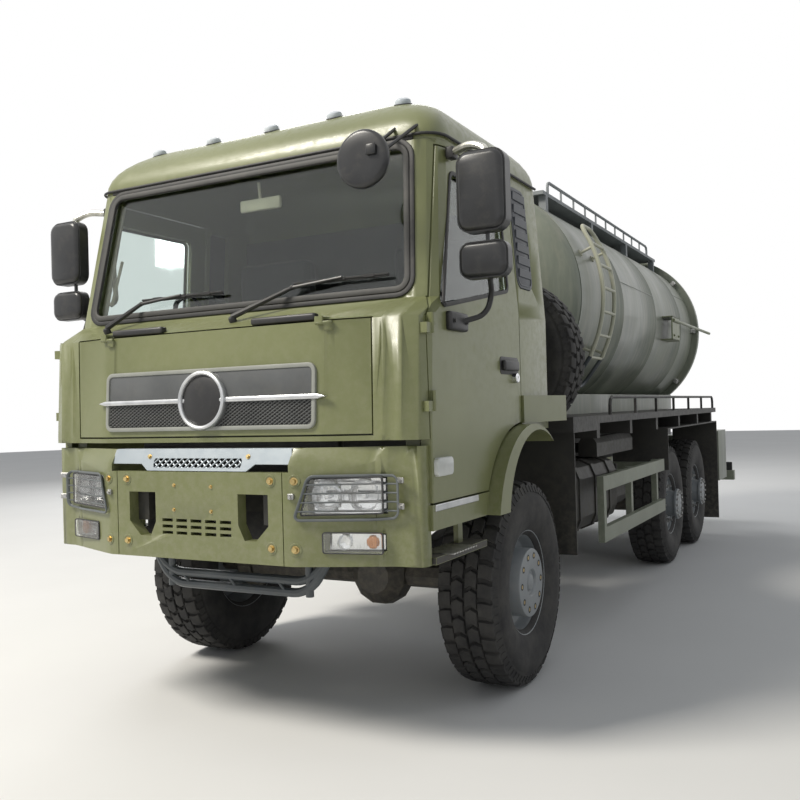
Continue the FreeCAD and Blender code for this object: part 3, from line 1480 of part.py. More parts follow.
def dish(start, radius, depth, direction, steps=3):
    """Points of a dished end from its rim to its middle."""
    points = []
    for step in range(steps + 1):
        angle = math.pi / 2 * step / steps
        points.append((start + direction * depth * math.sin(angle), radius * math.cos(angle)))
    return points


tank_centre = Vector(0, 0, value("tank_height"))
tank_wall = value("tank_wall")
tank_radius = value("tank_diameter / 2")
tank_front = value(behind("tank_front_y"))
tank_rear = value(behind("tank_rear_y"))
flange_radius = value("door_flange_diameter / 2")
flange_depth = value("door_flange_thickness")
outer_line = list(reversed(dish(tank_front, tank_radius, value("dish_depth"), -1)))
inner_line = dish(tank_front, tank_radius - tank_wall, value("dish_depth") - tank_wall, -1)
barrel_line = outer_line + [
    (tank_rear - flange_depth, tank_radius), (tank_rear - flange_depth, flange_radius),
    (tank_rear, flange_radius),
    (tank_rear, tank_radius - tank_wall),
] + inner_line
barrel = modelled("tank_barrel", turned(barrel_line, TANK_SIDES, "y", tank_centre))
tank_top = "tank_height + tank_diameter / 2"
neck = rod("manhole_neck", ("0", behind("manhole_y"), f"{tank_top} - 40"), "z", "manhole_diameter",
           "manhole_height + 40", 16)
neck_hole = rod("manhole_hole", ("0", behind("manhole_y"), f"{tank_top} - 80"), "z",
                "manhole_diameter - 24",
                "manhole_height + 200", 16)
tank_hinges = []
lid_hinge_y = "manhole_y + manhole_diameter / 2 + 40"
lid_low = f"{tank_top} + manhole_height + seat_gap"
tank_hinges.append(block("lid_hinge_fixed", ("-60", behind("manhole_y + manhole_diameter / 2 - 25"),
                                             f"{tank_top} + manhole_height - 45"), ("50", "80", "45")))
tank_hinges.append(rod("lid_hinge_pin", ("-60", behind(lid_hinge_y), f"{lid_low} + lid_thickness / 2"),
                       "x",
                       "lid_thickness", "50"))
tank_hinges.append(block("lid_hinge_stem", ("-60", behind(f"{lid_hinge_y} - 10"), f"{lid_low} - 20"),
                         ("50", "20", "20 + lid_thickness / 2")))
lid_parts = [
    rod("lid_plate", ("0", behind("manhole_y"), lid_low), "z", "manhole_diameter + 30", "lid_thickness",
        16),
    block("lid_arm", ("-10 + seat_gap", behind("manhole_y + manhole_diameter / 2 - 20"), lid_low),
          ("50", "60", "lid_thickness")),
    rod("lid_barrel", ("-10 + seat_gap", behind(lid_hinge_y), f"{lid_low} + lid_thickness / 2"), "x",
        "lid_thickness", "50"),
]
door_axis_y = "tank_rear_y + tank_door_gap + door_flange_thickness / 2"
door_axis_z = "tank_height + door_flange_diameter / 2 + 45"
door_lugs = []
for number, low in enumerate(("-330", "230")):
    tank_hinges.append(rod(f"tank_pin_{number}", (low, behind(door_axis_y), door_axis_z), "x", "40",
                           "50"))
    tank_hinges.append(block(f"tank_lug_{number}", (low, behind("tank_rear_y - door_flange_thickness"),
                             f"{door_axis_z} - lug_drop"),
                             ("50", "door_flange_thickness", "lug_drop + 20")))
    tank_hinges.append(block(f"tank_lug_arm_{number}",
                             (low, behind("tank_rear_y - 10"), f"{door_axis_z} - 20"),
                             ("50", "tank_door_gap + door_flange_thickness / 2 + 10", "40")))
    door_lugs.append(rod(f"door_barrel_{number}",
                         (f"{low} + 50 + seat_gap", behind(door_axis_y), door_axis_z), "x",
                         "40", "50"))
    door_lugs.append(block(f"door_lug_{number}",
                           (f"{low} + 50 + seat_gap", behind("tank_rear_y + tank_door_gap"),
                           f"{door_axis_z} - lug_drop"), ("50", "door_flange_thickness", "lug_drop")))
for number, degrees in enumerate((50, 90, 130, 180, 230, 270, 310)):
    clamp = Part.makeBox(value("clamp_width"), value("clamp_length"), value("clamp_height"),
                         Vector(-value("clamp_width") / 2, 0, tank_radius - tank_wall))
    clamp.rotate(Vector(), Vector(0, 1, 0), degrees)
    clamp.translate(Vector(0, tank_rear - flange_depth - value("clamp_length"), value("tank_height")))
    piece = doc.addObject("Part::Feature", f"tank_clamp_{number}")
    piece.Shape = clamp
    tank_hinges.append(piece)
keep(cut("tank", joined("tank_whole", [barrel, neck] + tank_hinges), [neck_hole]))
keep(joined("manhole_lid", lid_parts))
door_y = value(behind("tank_rear_y + tank_door_gap"))
door_line = [(door_y, tank_radius - tank_wall), (door_y, flange_radius),
             (door_y + flange_depth, flange_radius)]
door_line += dish(door_y + flange_depth, tank_radius, value("tank_door_bulge"), 1)
door_line += list(reversed(dish(door_y + flange_depth, tank_radius - tank_wall,
                                value("tank_door_bulge") - tank_wall, 1)))
keep(joined("tank_door", [modelled("tank_door_plate",
                                   turned(door_line, TANK_SIDES, "y", tank_centre))] + door_lugs))

# Cradle, subframe beams and the shelves on their arms

clear_radius = tank_radius + value("seat_gap") / math.cos(math.pi / TANK_SIDES)
cradle_front = value(behind("cradle_y"))
tank_clear = modelled("tank_clear", turned([
    (cradle_front, 0), (cradle_front, clear_radius), (tank_rear, clear_radius), (tank_rear, 0),
], TANK_SIDES, "y", tank_centre))
cradle_low = "shelf_height + shelf_thickness"
cradle_block = block("cradle_block", ("-cradle_width / 2", behind("cradle_y"), cradle_low),
                     ("cradle_width", "tank_rear_y - cradle_setback - cradle_y",
                      f"cradle_high - ({cradle_low})"))
keep(cut("cradle", cradle_block, [tank_clear]))
arm_low = "mudguard_top + mudguard_wall"
left_frame = [block("subframe_beam", (rail_inner, behind("2700"), "rail_top"),
                    ("rail_flange", "tank_rear_y - 2800", f"{cradle_low} - rail_top"))]
for number, at in enumerate(("2680", "3600", "4520", "5500", "6500", "7380")):
    left_frame.append(block(f"shelf_arm_{number}", (f"{frame_side} + seat_gap", behind(at), arm_low),
                            (f"body_width / 2 - 50 - ({frame_side})", "shelf_arm_width",
                             f"shelf_height - ({arm_low})")))
keep(both_sides("subframe", group("subframe_left", left_frame)))
shelf_rail_x = "body_width / 2 - 20 - shelf_rail_tube"
shelf_rail_end = "shelf_rear_y - 60"
shelf_high = "shelf_height + shelf_thickness"
shelf_rail = [modelled("shelf_rail", tube([
    point(shelf_rail_x, "shelf_rail_y", f"{shelf_high} - 5"),
    point(shelf_rail_x, "shelf_rail_y", f"{shelf_high} + shelf_rail_height"),
    point(shelf_rail_x, shelf_rail_end, f"{shelf_high} + shelf_rail_height"),
    point(shelf_rail_x, shelf_rail_end, f"{shelf_high} - 5"),
], value("shelf_rail_tube"), 60))]
for number in range(SHELF_POSTS):
    at = f"shelf_rail_y + {number + 1} * ({shelf_rail_end} - shelf_rail_y) / {SHELF_POSTS + 1}"
    shelf_rail.append(block(f"shelf_post_{number}",
                            (f"{shelf_rail_x} - 10", behind(at), f"{shelf_high} - 5"),
                            ("20", "20", "shelf_rail_height")))
shelf = cut("shelf_left", joined("shelf_whole", shelf_rail + [
    block("shelf_plate", (f"{frame_side} + seat_gap", behind("shelf_front_y"), "shelf_height"),
          (f"body_width / 2 - 20 - ({frame_side}) - seat_gap", "shelf_rear_y - shelf_front_y",
           "shelf_thickness")),
    block("shelf_front", ("1000", behind("2060"), "1360"), ("200", "700", "95")),
]), [block("shelf_under", ("0", behind("shelf_front_y"), "shelf_height - 105"),
           ("body_width / 2 + 30", "200", "105"))])
keep(both_sides("shelves", shelf))

# Walkway on top and the ladder and arm on the left
plank_low = "walkway_height - walkway_thickness"
plank_parts = [block("plank_left", ("walkway_width / 2 - walkway_plank", behind("walkway_y"), plank_low),
                     ("walkway_plank", "walkway_length", "walkway_thickness"))]
for number in range(PLANK_FEET):
    at = f"walkway_y + 60 + {number} * (walkway_length - 180) / {PLANK_FEET - 1}"
    plank_parts.append(block(f"plank_foot_{number}",
                             ("walkway_width / 2 - 60", behind(at), "tank_height + 600"),
                             ("60", "60", f"{plank_low} - tank_height - 600")))
rail_x = "walkway_width / 2 - walkway_rail_tube / 2"
rail_line = "walkway_height + walkway_rail_height - walkway_rail_tube / 2"
plank_parts.append(modelled("walkway_rail", tube([
    point(rail_x, "walkway_rail_y", "walkway_height - 5"), point(rail_x, "walkway_rail_y", rail_line),
    point(rail_x, "walkway_rail_y + walkway_rail_length", rail_line),
    point(rail_x, "walkway_rail_y + walkway_rail_length", "walkway_height - 5"),
], value("walkway_rail_tube"), 70)))
for number in range(RAIL_POSTS):
    at = f"walkway_rail_y + {number + 1} * walkway_rail_length / {RAIL_POSTS + 1} - walkway_post / 2"
    plank_parts.append(block(f"walkway_post_{number}", (f"{rail_x} - walkway_post / 2", behind(at),
                             "walkway_height - 5"),
                             ("walkway_post", "walkway_post", "walkway_rail_height - 5")))
keep(both_sides("walkway", cut("walkway_left", joined("plank_whole", plank_parts), [tank_clear])))


def beside_tank(degrees, radius, at):
    """A point beside the tank, its angle measured from the top down to the left."""
    angle = math.radians(degrees)
    return Vector(radius * math.sin(angle), value(behind(at)),
                  value("tank_height") + radius * math.cos(angle))


ladder_radius = value("tank_diameter / 2 + ladder_stand_off")
ladder_tube = value("ladder_tube")
ladder_parts = []
for degrees, past in ((range(95, 61, -11), 56), (range(95, 129, 11), 134)):
    near = [beside_tank(angle, ladder_radius, "ladder_y") for angle in degrees]
    far = [beside_tank(angle, ladder_radius, "ladder_y + ladder_width") for angle in degrees]
    turn_near = beside_tank(past, ladder_radius, "ladder_y + ladder_width * 0.25")
    turn_far = beside_tank(past, ladder_radius, "ladder_y + ladder_width * 0.75")
    ladder_parts.append(tube(near + [turn_near, turn_far] + far[::-1], ladder_tube, 0))
for number, at in enumerate(("ladder_y", "ladder_y + ladder_width")):
    for degrees in (66, 124):
        ladder_parts.append(tube([beside_tank(degrees, tank_radius * 0.97, at),
                                  beside_tank(degrees, ladder_radius, at)], ladder_tube * 0.7, 0))
for degrees in (69, 82, 95, 108, 121):
    ladder_parts.append(tube([beside_tank(degrees, ladder_radius, at)
                              for at in ("ladder_y", "ladder_y + ladder_width")], ladder_tube * 0.8, 0))
ladder_whole = modelled("ladder_whole", ladder_parts[0].fuse(ladder_parts[1:]))
arm_inner = "door_flange_diameter / 2 + 20"
side_arm = joined("side_arm", [
    block("arm_plate", (arm_inner, behind("arm_plate_y"), "arm_plate_low"),
          ("arm_plate_thickness", "arm_plate_length", "arm_plate_high - arm_plate_low")),
    block("arm_foot_low", ("tank_diameter / 2 - 60", behind("arm_plate_y"), "arm_plate_low"),
          (f"{arm_inner} + 70 - tank_diameter / 2", "arm_plate_length", "arm_plate_thickness")),
    block("arm_foot_high", ("tank_diameter / 2 - 60", behind("arm_plate_y"),
                            "arm_plate_high - arm_plate_thickness"),
          (f"{arm_inner} + 70 - tank_diameter / 2", "arm_plate_length", "arm_plate_thickness")),
    modelled("arm_tube", tube([point(f"{arm_inner} + 20", "arm_plate_y + 40", "arm_height"),
                               point(f"{arm_inner} + 20", "arm_rear_y", "arm_height")],
                               value("arm_tube"), 0, 8)),
])
keep(cut("ladder", group("ladder_and_arm", [ladder_whole, side_arm]), [tank_clear]))

# Things hung on the frame: fuel tank, toolboxes, mudguards and guards


def fuel_section(label, out, length, at):
    """The fuel tank's section with its corners cut off, moved out by a band's thickness."""
    low_x = f"fuel_tank_inner_x - {out}"
    high_x = f"fuel_tank_outer_x + {out}"
    low = f"fuel_tank_low - {out}"
    high = f"fuel_tank_high + {out}"
    corner = "fuel_tank_corner"
    return slab(label, "XZ", [
        (f"{low_x} + {corner}", low), (f"{high_x} - {corner}", low),
        (f"{high_x} - {corner} * 0.3", f"{low} + {corner} * 0.3"),
        (high_x, f"{low} + {corner}"), (high_x, f"{high} - {corner}"),
        (f"{high_x} - {corner} * 0.3", f"{high} - {corner} * 0.3"), (f"{high_x} - {corner}", high),
        (f"{low_x} + {corner}", high), (f"{low_x} + {corner} * 0.3", f"{high} - {corner} * 0.3"),
        (low_x, f"{high} - {corner}"), (low_x, f"{low} + {corner}"),
        (f"{low_x} + {corner} * 0.3", f"{low} + {corner} * 0.3"),
    ], length, ("0", behind(at), "0"))


fuel_parts = [fuel_section("fuel_body", "0", "fuel_tank_length", "fuel_tank_y")]
for number in range(FUEL_BANDS):
    fuel_parts.append(fuel_section(f"fuel_band_{number}", "fuel_band_thickness", "fuel_band_width",
                                   f"fuel_tank_y + fuel_band_y + {number} * fuel_rib_pitch"))
keep(joined("fuel_tank", fuel_parts))
silencer_parts = [slab("silencer_body", "XZ", [
    ("silencer_inner_x", "silencer_low"), ("silencer_outer_x", "silencer_low"),
    ("silencer_outer_x", "silencer_high - 45"), ("silencer_outer_x - 30", "silencer_high"),
    ("silencer_inner_x + 30", "silencer_high"), ("silencer_inner_x", "silencer_high - 45"),
], "silencer_length", ("0", behind("silencer_y"), "0"))]
for number, at in enumerate(("silencer_y + 560", "silencer_y + silencer_length - 120")):
    silencer_parts.append(block(f"silencer_arm_{number}",
                                (f"{frame_side} + seat_gap", behind(at), "silencer_low"),
                                (f"silencer_inner_x + 20 - ({frame_side})", "50", "60")))
keep(joined("silencer", silencer_parts))
air_parts = []
for number, at in enumerate(("air_tank_inner_x", "air_tank_inner_x + air_tank_pitch")):
    air_parts.append(modelled(f"air_vessel_{number}", turned([
        (0, 0), (0, value("air_tank_diameter / 2 - 35")), (35, value("air_tank_diameter / 2")),
        (value("air_tank_length - 35"), value("air_tank_diameter / 2")),
        (value("air_tank_length"), value("air_tank_diameter / 2 - 35")), (value("air_tank_length"), 0),
    ], 16, "y", point(at, "air_tank_y", "air_tank_height"))))
for number, at in enumerate(("air_tank_y + 90", "air_tank_y + air_tank_length - 140")):
    air_parts.append(block(f"air_strap_{number}",
                           (f"{frame_side} + seat_gap", behind(at),
                            "air_tank_height + air_tank_diameter / 2 - 20"),
                           (f"air_tank_inner_x + air_tank_pitch + 40 - ({frame_side})", "50",
                            f"{rail_low} + 40 - air_tank_height - air_tank_diameter / 2 + 20")))
keep(joined("air_tanks", air_parts))
for number in (0, FUEL_BANDS - 1):
    at = f"fuel_tank_y + fuel_band_y + {number} * fuel_rib_pitch"
    brackets.append(block(f"fuel_bracket_{number}", (frame_side, behind(at), f"{rail_low} - 120"),
                          (f"fuel_tank_inner_x - fuel_band_thickness - seat_gap - ({frame_side})",
                           "fuel_band_width", "300")))
keep(group("frame_brackets", brackets + [both_sides("side_brackets",
                                                    group("left_brackets", left_brackets))]))
toolbox = block("toolbox_body", ("body_width / 2 - 20 - toolbox_depth", behind("toolbox_y"),
                                 "toolbox_low"),
                ("toolbox_depth", "toolbox_length", "toolbox_high - toolbox_low"))
toolbox_arm = block("toolbox_arm", (frame_side, behind("toolbox_y + 100"), f"{rail_low} + 20"),
                    (f"body_width / 2 - 20 - toolbox_depth - ({frame_side})", "300", "120"))
keep(both_sides("toolboxes", joined("toolbox_left", [toolbox, toolbox_arm])))
plates = [
    block("mudguard_top_plate", ("mudguard_inner_x", behind("mudguard_front_y"), "mudguard_top"),
          ("mudguard_width", "mudguard_rear_y - mudguard_front_y", "mudguard_wall")),
    block("mudguard_front_plate", ("mudguard_inner_x", behind("mudguard_front_y"), "mudguard_low"),
          ("mudguard_width", "mudguard_wall", "mudguard_top + mudguard_wall - mudguard_low")),
    block("mudguard_rear_plate", ("mudguard_inner_x", behind("mudguard_rear_y - mudguard_wall"),
                                  "flap_low"),
          ("mudguard_width", "mudguard_wall", "mudguard_top + mudguard_wall - flap_low")),
]
front_flap_panel = block("mud_flap", ("front_flap_inner_x", behind("front_flap_y"), "front_flap_low"),
                         ("front_flap_width", "front_flap_thickness", "front_flap_height"))
keep(both_sides("mudguards", group("mudguards_left",
                                   [joined("mudguard_plates", plates), front_flap_panel])))
guard_x = "body_width / 2 - 20 - side_guard_depth"
side_guard = joined("side_guard", [
    block("guard_high_rail", (guard_x, behind("side_guard_y"), "side_guard_high - side_guard_rail"),
          ("side_guard_depth", "side_guard_length", "side_guard_rail")),
    block("guard_low_rail", (guard_x, behind("side_guard_y"), "side_guard_low"),
          ("side_guard_depth", "side_guard_length", "side_guard_rail")),
    block("guard_front_post", (guard_x, behind("side_guard_y"), "side_guard_low"),
          ("side_guard_depth", "side_guard_post", "side_guard_high - side_guard_low")),
    block("guard_post_middle", (f"{guard_x} - side_guard_depth", behind("side_guard_arm_y"),
                                "side_guard_low"),
          ("side_guard_depth", "side_guard_post", "side_guard_high - side_guard_low")),
    block("guard_post_rear", (f"{guard_x} - side_guard_depth", behind("side_guard_rear_arm_y"),
                              "side_guard_low"),
          ("side_guard_depth", "side_guard_post", "side_guard_high - side_guard_low")),
    block("guard_arm_front", (frame_side, behind("side_guard_arm_y"), f"{rail_low} - 60"),
          (f"{guard_x} - ({frame_side})", "side_guard_post", "90")),
    block("guard_arm_rear", (frame_side, behind("side_guard_rear_arm_y"), f"{rail_low} - 60"),
          (f"{guard_x} - ({frame_side})", "side_guard_post", "90")),
])
underrun_leg = block("underrun_leg", (rail_inner, behind("overall_length - underrun_depth - 110"),
                                      "underrun_low"),
                     ("rail_flange", "110", f"{rail_low} - underrun_low"))
underrun = joined("underrun", [
    block("underrun_beam", ("-underrun_width / 2", behind("overall_length - underrun_depth"),
                            "underrun_low"),
          ("underrun_width", "underrun_depth", "underrun_height")),
    underrun_leg, mirrored("underrun_leg_right", underrun_leg),
])
keep(group("guards", [side_guard, mirrored("side_guard_right", side_guard), underrun]))

# Outlet under the tank, with its bolted flange

outlet_end = "outlet_rear_y"
pipe = "outlet_diameter + 2 * outlet_wall"
outlet = joined("outlet_whole", [
    rod("outlet_pipe", ("0", behind("outlet_riser_y"), "outlet_height"), "y", pipe,
        f"{outlet_end} - outlet_riser_y", 16),
    rod("outlet_flange", ("0", behind(f"{outlet_end} - outlet_flange_thickness"), "outlet_height"), "y",
        "outlet_flange_diameter", "outlet_flange_thickness", 16),
    rod("outlet_riser", ("0", behind("outlet_riser_y + 60"), "outlet_height"), "z", pipe,
        f"{cradle_low} - outlet_height", 16),
])
holes = [bore("outlet_bore", ("0", behind(f"{outlet_end} - outlet_length"), "outlet_height"), "y",
              "outlet_diameter",
              "outlet_length + 50")]
for number in range(8):
    angle = math.pi / 4 * (number + 0.5)
    holes.append(bore(f"outlet_bolt_{number}",
                      (f"outlet_bolt_circle / 2 * {math.cos(angle):.5f}", behind(f"{outlet_end} - 40"),
                       f"outlet_height + outlet_bolt_circle / 2 * {math.sin(angle):.5f}"), "y",
                      "outlet_bolt_hole", "80"))
keep(cut("outlet", outlet, holes))

# Spare wheel and the frame that carries it

spare_spot = Vector(value("spare_x"), value(behind("spare_y")), value("spare_height"))
wheel("spare", spare_spot, Rotation(Vector(0, 0, 1), -90))
carrier_y = "spare_y + tyre_width / 2 + seat_gap"
keep(joined("spare_carrier", [
    block("carrier_post_left", (rail_inner, behind(carrier_y), "rail_top"),
          ("rail_flange", "carrier_bar", "carrier_post_height")),
    block("carrier_post_right", (f"-({frame_side})", behind(carrier_y), "rail_top"),
          ("rail_flange", "carrier_bar", "carrier_short_post_height")),
    block("carrier_bar_high", (f"-({frame_side})", behind(carrier_y), "carrier_bar_high"),
          ("1500", "carrier_bar", "carrier_bar")),
    block("carrier_bar_low", (f"-({frame_side})", behind(carrier_y), "carrier_bar_low"),
          ("1400", "carrier_bar", "carrier_bar")),
    rod("carrier_boss", ("spare_x", behind("spare_y - rim_offset + rim_dish_depth + 2 * rim_wall + seat_gap"),
                         "spare_height"), "y", "carrier_boss_diameter",
        "tyre_width / 2 + rim_offset - rim_dish_depth - 2 * rim_wall + 40", 16),
]))

doc.recompute()
os.makedirs("parts", exist_ok=True)
for item in doc.Objects:
    if set(item.State) & {"Invalid", "Error"}:
        raise RuntimeError(f"{item.Label} can't be made at these sizes")
for label, piece in nodes.items():
    if piece.Shape.isNull() or not piece.Shape.isValid():
        raise RuntimeError(f"{label} has no sound shape at these sizes")
for label, piece in nodes.items():
    piece.Shape.exportStep(f"parts/{label}.step")
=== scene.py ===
# %% [markdown]
# # A six-wheel tanker truck, dressed step by step
# The solids of this truck come from its CAD model, and they are already in place.
# This lesson gives them real finishes, and adds what is too fine for a CAD solid:
# tread blocks, bolts, gaskets, lenses, meshes and wipers.
# Every piece is in metres. +X is the truck's left side, +Y points to its rear, +Z is up.

import math

import bmesh
import bpy
from mathutils import Matrix, Vector
from mathutils.bvhtree import BVHTree


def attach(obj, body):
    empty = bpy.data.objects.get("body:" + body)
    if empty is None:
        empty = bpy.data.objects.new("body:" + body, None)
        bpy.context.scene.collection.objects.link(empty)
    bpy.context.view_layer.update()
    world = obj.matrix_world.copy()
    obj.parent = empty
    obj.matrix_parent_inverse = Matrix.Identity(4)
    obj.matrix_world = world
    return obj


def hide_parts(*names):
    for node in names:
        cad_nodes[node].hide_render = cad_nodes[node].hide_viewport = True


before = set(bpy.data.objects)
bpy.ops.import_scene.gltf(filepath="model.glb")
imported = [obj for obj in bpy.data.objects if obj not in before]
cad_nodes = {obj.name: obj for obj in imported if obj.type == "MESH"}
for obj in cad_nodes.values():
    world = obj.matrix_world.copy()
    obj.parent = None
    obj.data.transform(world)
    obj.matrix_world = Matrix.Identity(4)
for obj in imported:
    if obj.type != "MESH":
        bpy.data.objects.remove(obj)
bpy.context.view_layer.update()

# %% [markdown]
# ## The camera
# A photograph of a long truck taken from close by has strong perspective, so the
# camera stands where the photographer stood, at eye height, with a moderately wide lens.
# Its three axes are worked out from a heading, a pitch and a small roll.

# %% Camera
camera_place = Vector((2.825, -7.712, 1.530))
heading, pitch, roll = (math.radians(angle) for angle in (-28.230, 0.3532, -1.5729))
forward = Vector((math.sin(heading) * math.cos(pitch), math.cos(heading) * math.cos(pitch), math.sin(pitch)))
level_right = Vector((math.cos(heading), -math.sin(heading), 0))
level_up = level_right.cross(forward)
right = math.cos(roll) * level_right + math.sin(roll) * level_up
up = math.cos(roll) * level_up - math.sin(roll) * level_right

camera_data = bpy.data.cameras.new("camera")
camera = bpy.data.objects.new("camera", camera_data)
bpy.context.scene.collection.objects.link(camera)
camera_data.lens = 39.851
camera_data.sensor_width = 36.0
camera_data.shift_x = 0.00125
camera_data.shift_y = 0.00545
camera_data.clip_end = 200
camera.matrix_world = Matrix.Translation(camera_place) @ Matrix((right, up, -forward)).transposed().to_4x4()
bpy.context.scene.camera = camera
print("camera at", tuple(camera_place), "looking along", tuple(round(v, 3) for v in forward))

# %% [markdown]
# ## Floor and light
# A studio photographer would roll out pale paper and hang large soft boxes.
# Here the paper is a flat disc, the sky is an even pale world, and two area lamps
# give the form a bright and a shaded side. The paper is white to the camera alone,
# so it stays pale without sending more light onto the truck.

# %% World
world = bpy.data.worlds.new("studio")
bpy.context.scene.world = world
world.use_nodes = True
world_nodes, world_links = world.node_tree.nodes, world.node_tree.links
sky = world_nodes["Background"]
sky.inputs["Color"].default_value = (0.93, 0.96, 1.0, 1)
sky.inputs["Strength"].default_value = 0.36
white = world_nodes.new("ShaderNodeBackground")
white.inputs["Color"].default_value = (1, 1, 1, 1)
white.inputs["Strength"].default_value = 1.0
path = world_nodes.new("ShaderNodeLightPath")
mixer = world_nodes.new("ShaderNodeMixShader")
seen = world_nodes.new("ShaderNodeMath")
seen.operation = "MAXIMUM"
world_links.new(path.outputs["Is Camera Ray"], seen.inputs[0])
world_links.new(path.outputs["Is Transmission Ray"], seen.inputs[1])
shown = world_nodes.new("ShaderNodeMath")
shown.operation = "MAXIMUM"
world_links.new(seen.outputs["Value"], shown.inputs[0])
world_links.new(path.outputs["Is Glossy Ray"], shown.inputs[1])
world_links.new(shown.outputs["Value"], mixer.inputs["Fac"])
world_links.new(sky.outputs["Background"], mixer.inputs[1])
world_links.new(white.outputs["Background"], mixer.inputs[2])
world_links.new(mixer.outputs["Shader"], world_nodes["World Output"].inputs["Surface"])
bpy.context.scene.view_settings.view_transform = "Standard"


# %% Lamps
def soft_box(name, place, target, size, power, colour):
    """A large area lamp that faces a target."""
    lamp_data = bpy.data.lights.new(name, "AREA")
    lamp_data.size = size
    lamp_data.energy = power
    lamp_data.color = colour
    lamp = bpy.data.objects.new(name, lamp_data)
    bpy.context.scene.collection.objects.link(lamp)
    aim = (Vector(target) - Vector(place)).to_track_quat("-Z", "Y")
    lamp.matrix_world = Matrix.LocRotScale(Vector(place), aim, None)
    return lamp


soft_box("key_lamp", (-5.5, -10.5, 11.5), (0, -3.5, 1.5), 4.0, 1750, (1.0, 0.95, 0.86))
soft_box("side_lamp", (11.0, -1.0, 9.5), (0.5, 0, 1.6), 7.0, 45, (0.85, 0.93, 1.0))
soft_box("rear_lamp", (-8.0, 9.0, 8.0), (0, 1.5, 1.5), 7.0, 700, (1.0, 1.0, 1.0))

# %% [markdown]
# ## Kinds of finish
# A truck that has been driven is never one flat colour. Its paint is a base tone with
# cloudy variation, a film of dust that grows towards the ground, and a slight ripple.
# One helper builds that mix from noise textures on Object coordinates, so the pattern
# stays on the piece. The plain numbers are set on the shader itself.


# %% Node helpers
def shader_of(name, roughness=0.5, metallic=0.0, specular=0.5):
    """A new node material and its Principled shader."""
    material = bpy.data.materials.new(name)
    material.use_nodes = True
    shader = material.node_tree.nodes["Principled BSDF"]
    shader.inputs["Roughness"].default_value = roughness
    shader.inputs["Metallic"].default_value = metallic
    shader.inputs["Specular IOR Level"].default_value = specular
    return material, shader


def connect(material, source, target):
    material.node_tree.links.new(source, target)


def object_place(material, stretch=(1, 1, 1)):
    """Object coordinates, stretched along each axis."""
    coordinates = material.node_tree.nodes.new("ShaderNodeTexCoord")
    mapping = material.node_tree.nodes.new("ShaderNodeMapping")
    mapping.inputs["Scale"].default_value = stretch
    connect(material, coordinates.outputs["Object"], mapping.inputs["Vector"])
    return mapping.outputs["Vector"]


def noise(material, place, scale, detail=4.0, roughness=0.55):
    made = material.node_tree.nodes.new("ShaderNodeTexNoise")
    made.inputs["Scale"].default_value = scale
    made.inputs["Detail"].default_value = detail
    made.inputs["Roughness"].default_value = roughness
    connect(material, place, made.inputs["Vector"])
    return made.outputs["Fac"]


def ramp(material, source, low, high, first=(0, 0, 0, 1), last=(1, 1, 1, 1)):
    """Spreads a value between two limits over two tones."""
    made = material.node_tree.nodes.new("ShaderNodeValToRGB")
    made.color_ramp.elements[0].position = low
    made.color_ramp.elements[1].position = high
    made.color_ramp.elements[0].color = first
    made.color_ramp.elements[1].color = last
    connect(material, source, made.inputs["Fac"])
    return made.outputs["Color"]


def mixed(material, share, first, second):
    """Mixes two colours, each given as a colour or as a socket."""
    made = material.node_tree.nodes.new("ShaderNodeMix")
    made.data_type = "RGBA"
    for name, given in (("A", first), ("B", second)):
        socket = [s for s in made.inputs if s.name == name and s.type == "RGBA"][0]
        if isinstance(given, bpy.types.NodeSocket):
            connect(material, given, socket)
        else:
            socket.default_value = (*given, 1)
    factor = [s for s in made.inputs if s.name == "Factor" and s.type == "VALUE"][0]
    if isinstance(share, bpy.types.NodeSocket):
        connect(material, share, factor)
    else:
        factor.default_value = share
    return [s for s in made.outputs if s.type == "RGBA"][0]


def sums(material, operation, first, second=None):
    made = material.node_tree.nodes.new("ShaderNodeMath")
    made.operation = operation
    made.use_clamp = operation in ("MULTIPLY", "ADD")
    for socket, given in zip(made.inputs, (first, second)):
        if isinstance(given, bpy.types.NodeSocket):
            connect(material, given, socket)
        elif given is not None:
            socket.default_value = given
    return made.outputs["Value"]


def rippled(material, shader, height, strength, distance=0.002):
    """Joins a height to the shader's normal through a bump node."""
    made = material.node_tree.nodes.new("ShaderNodeBump")
    made.inputs["Strength"].default_value = strength
    made.inputs["Distance"].default_value = distance
    connect(material, height, made.inputs["Height"])
    connect(material, made.outputs["Normal"], shader.inputs["Normal"])


def height_above(material, low, high):
    """A share that falls from 1 at one height above the ground to 0 at another."""
    coordinates = material.node_tree.nodes.new("ShaderNodeTexCoord")
    parts = material.node_tree.nodes.new("ShaderNodeSeparateXYZ")
    connect(material, coordinates.outputs["Object"], parts.inputs["Vector"])
    span = material.node_tree.nodes.new("ShaderNodeMapRange")
    span.inputs["From Min"].default_value = low
    span.inputs["From Max"].default_value = high
    span.inputs["To Min"].default_value = 1.0
    span.inputs["To Max"].default_value = 0.0
    connect(material, parts.outputs["Z"], span.inputs["Value"])
    return span.outputs["Result"]


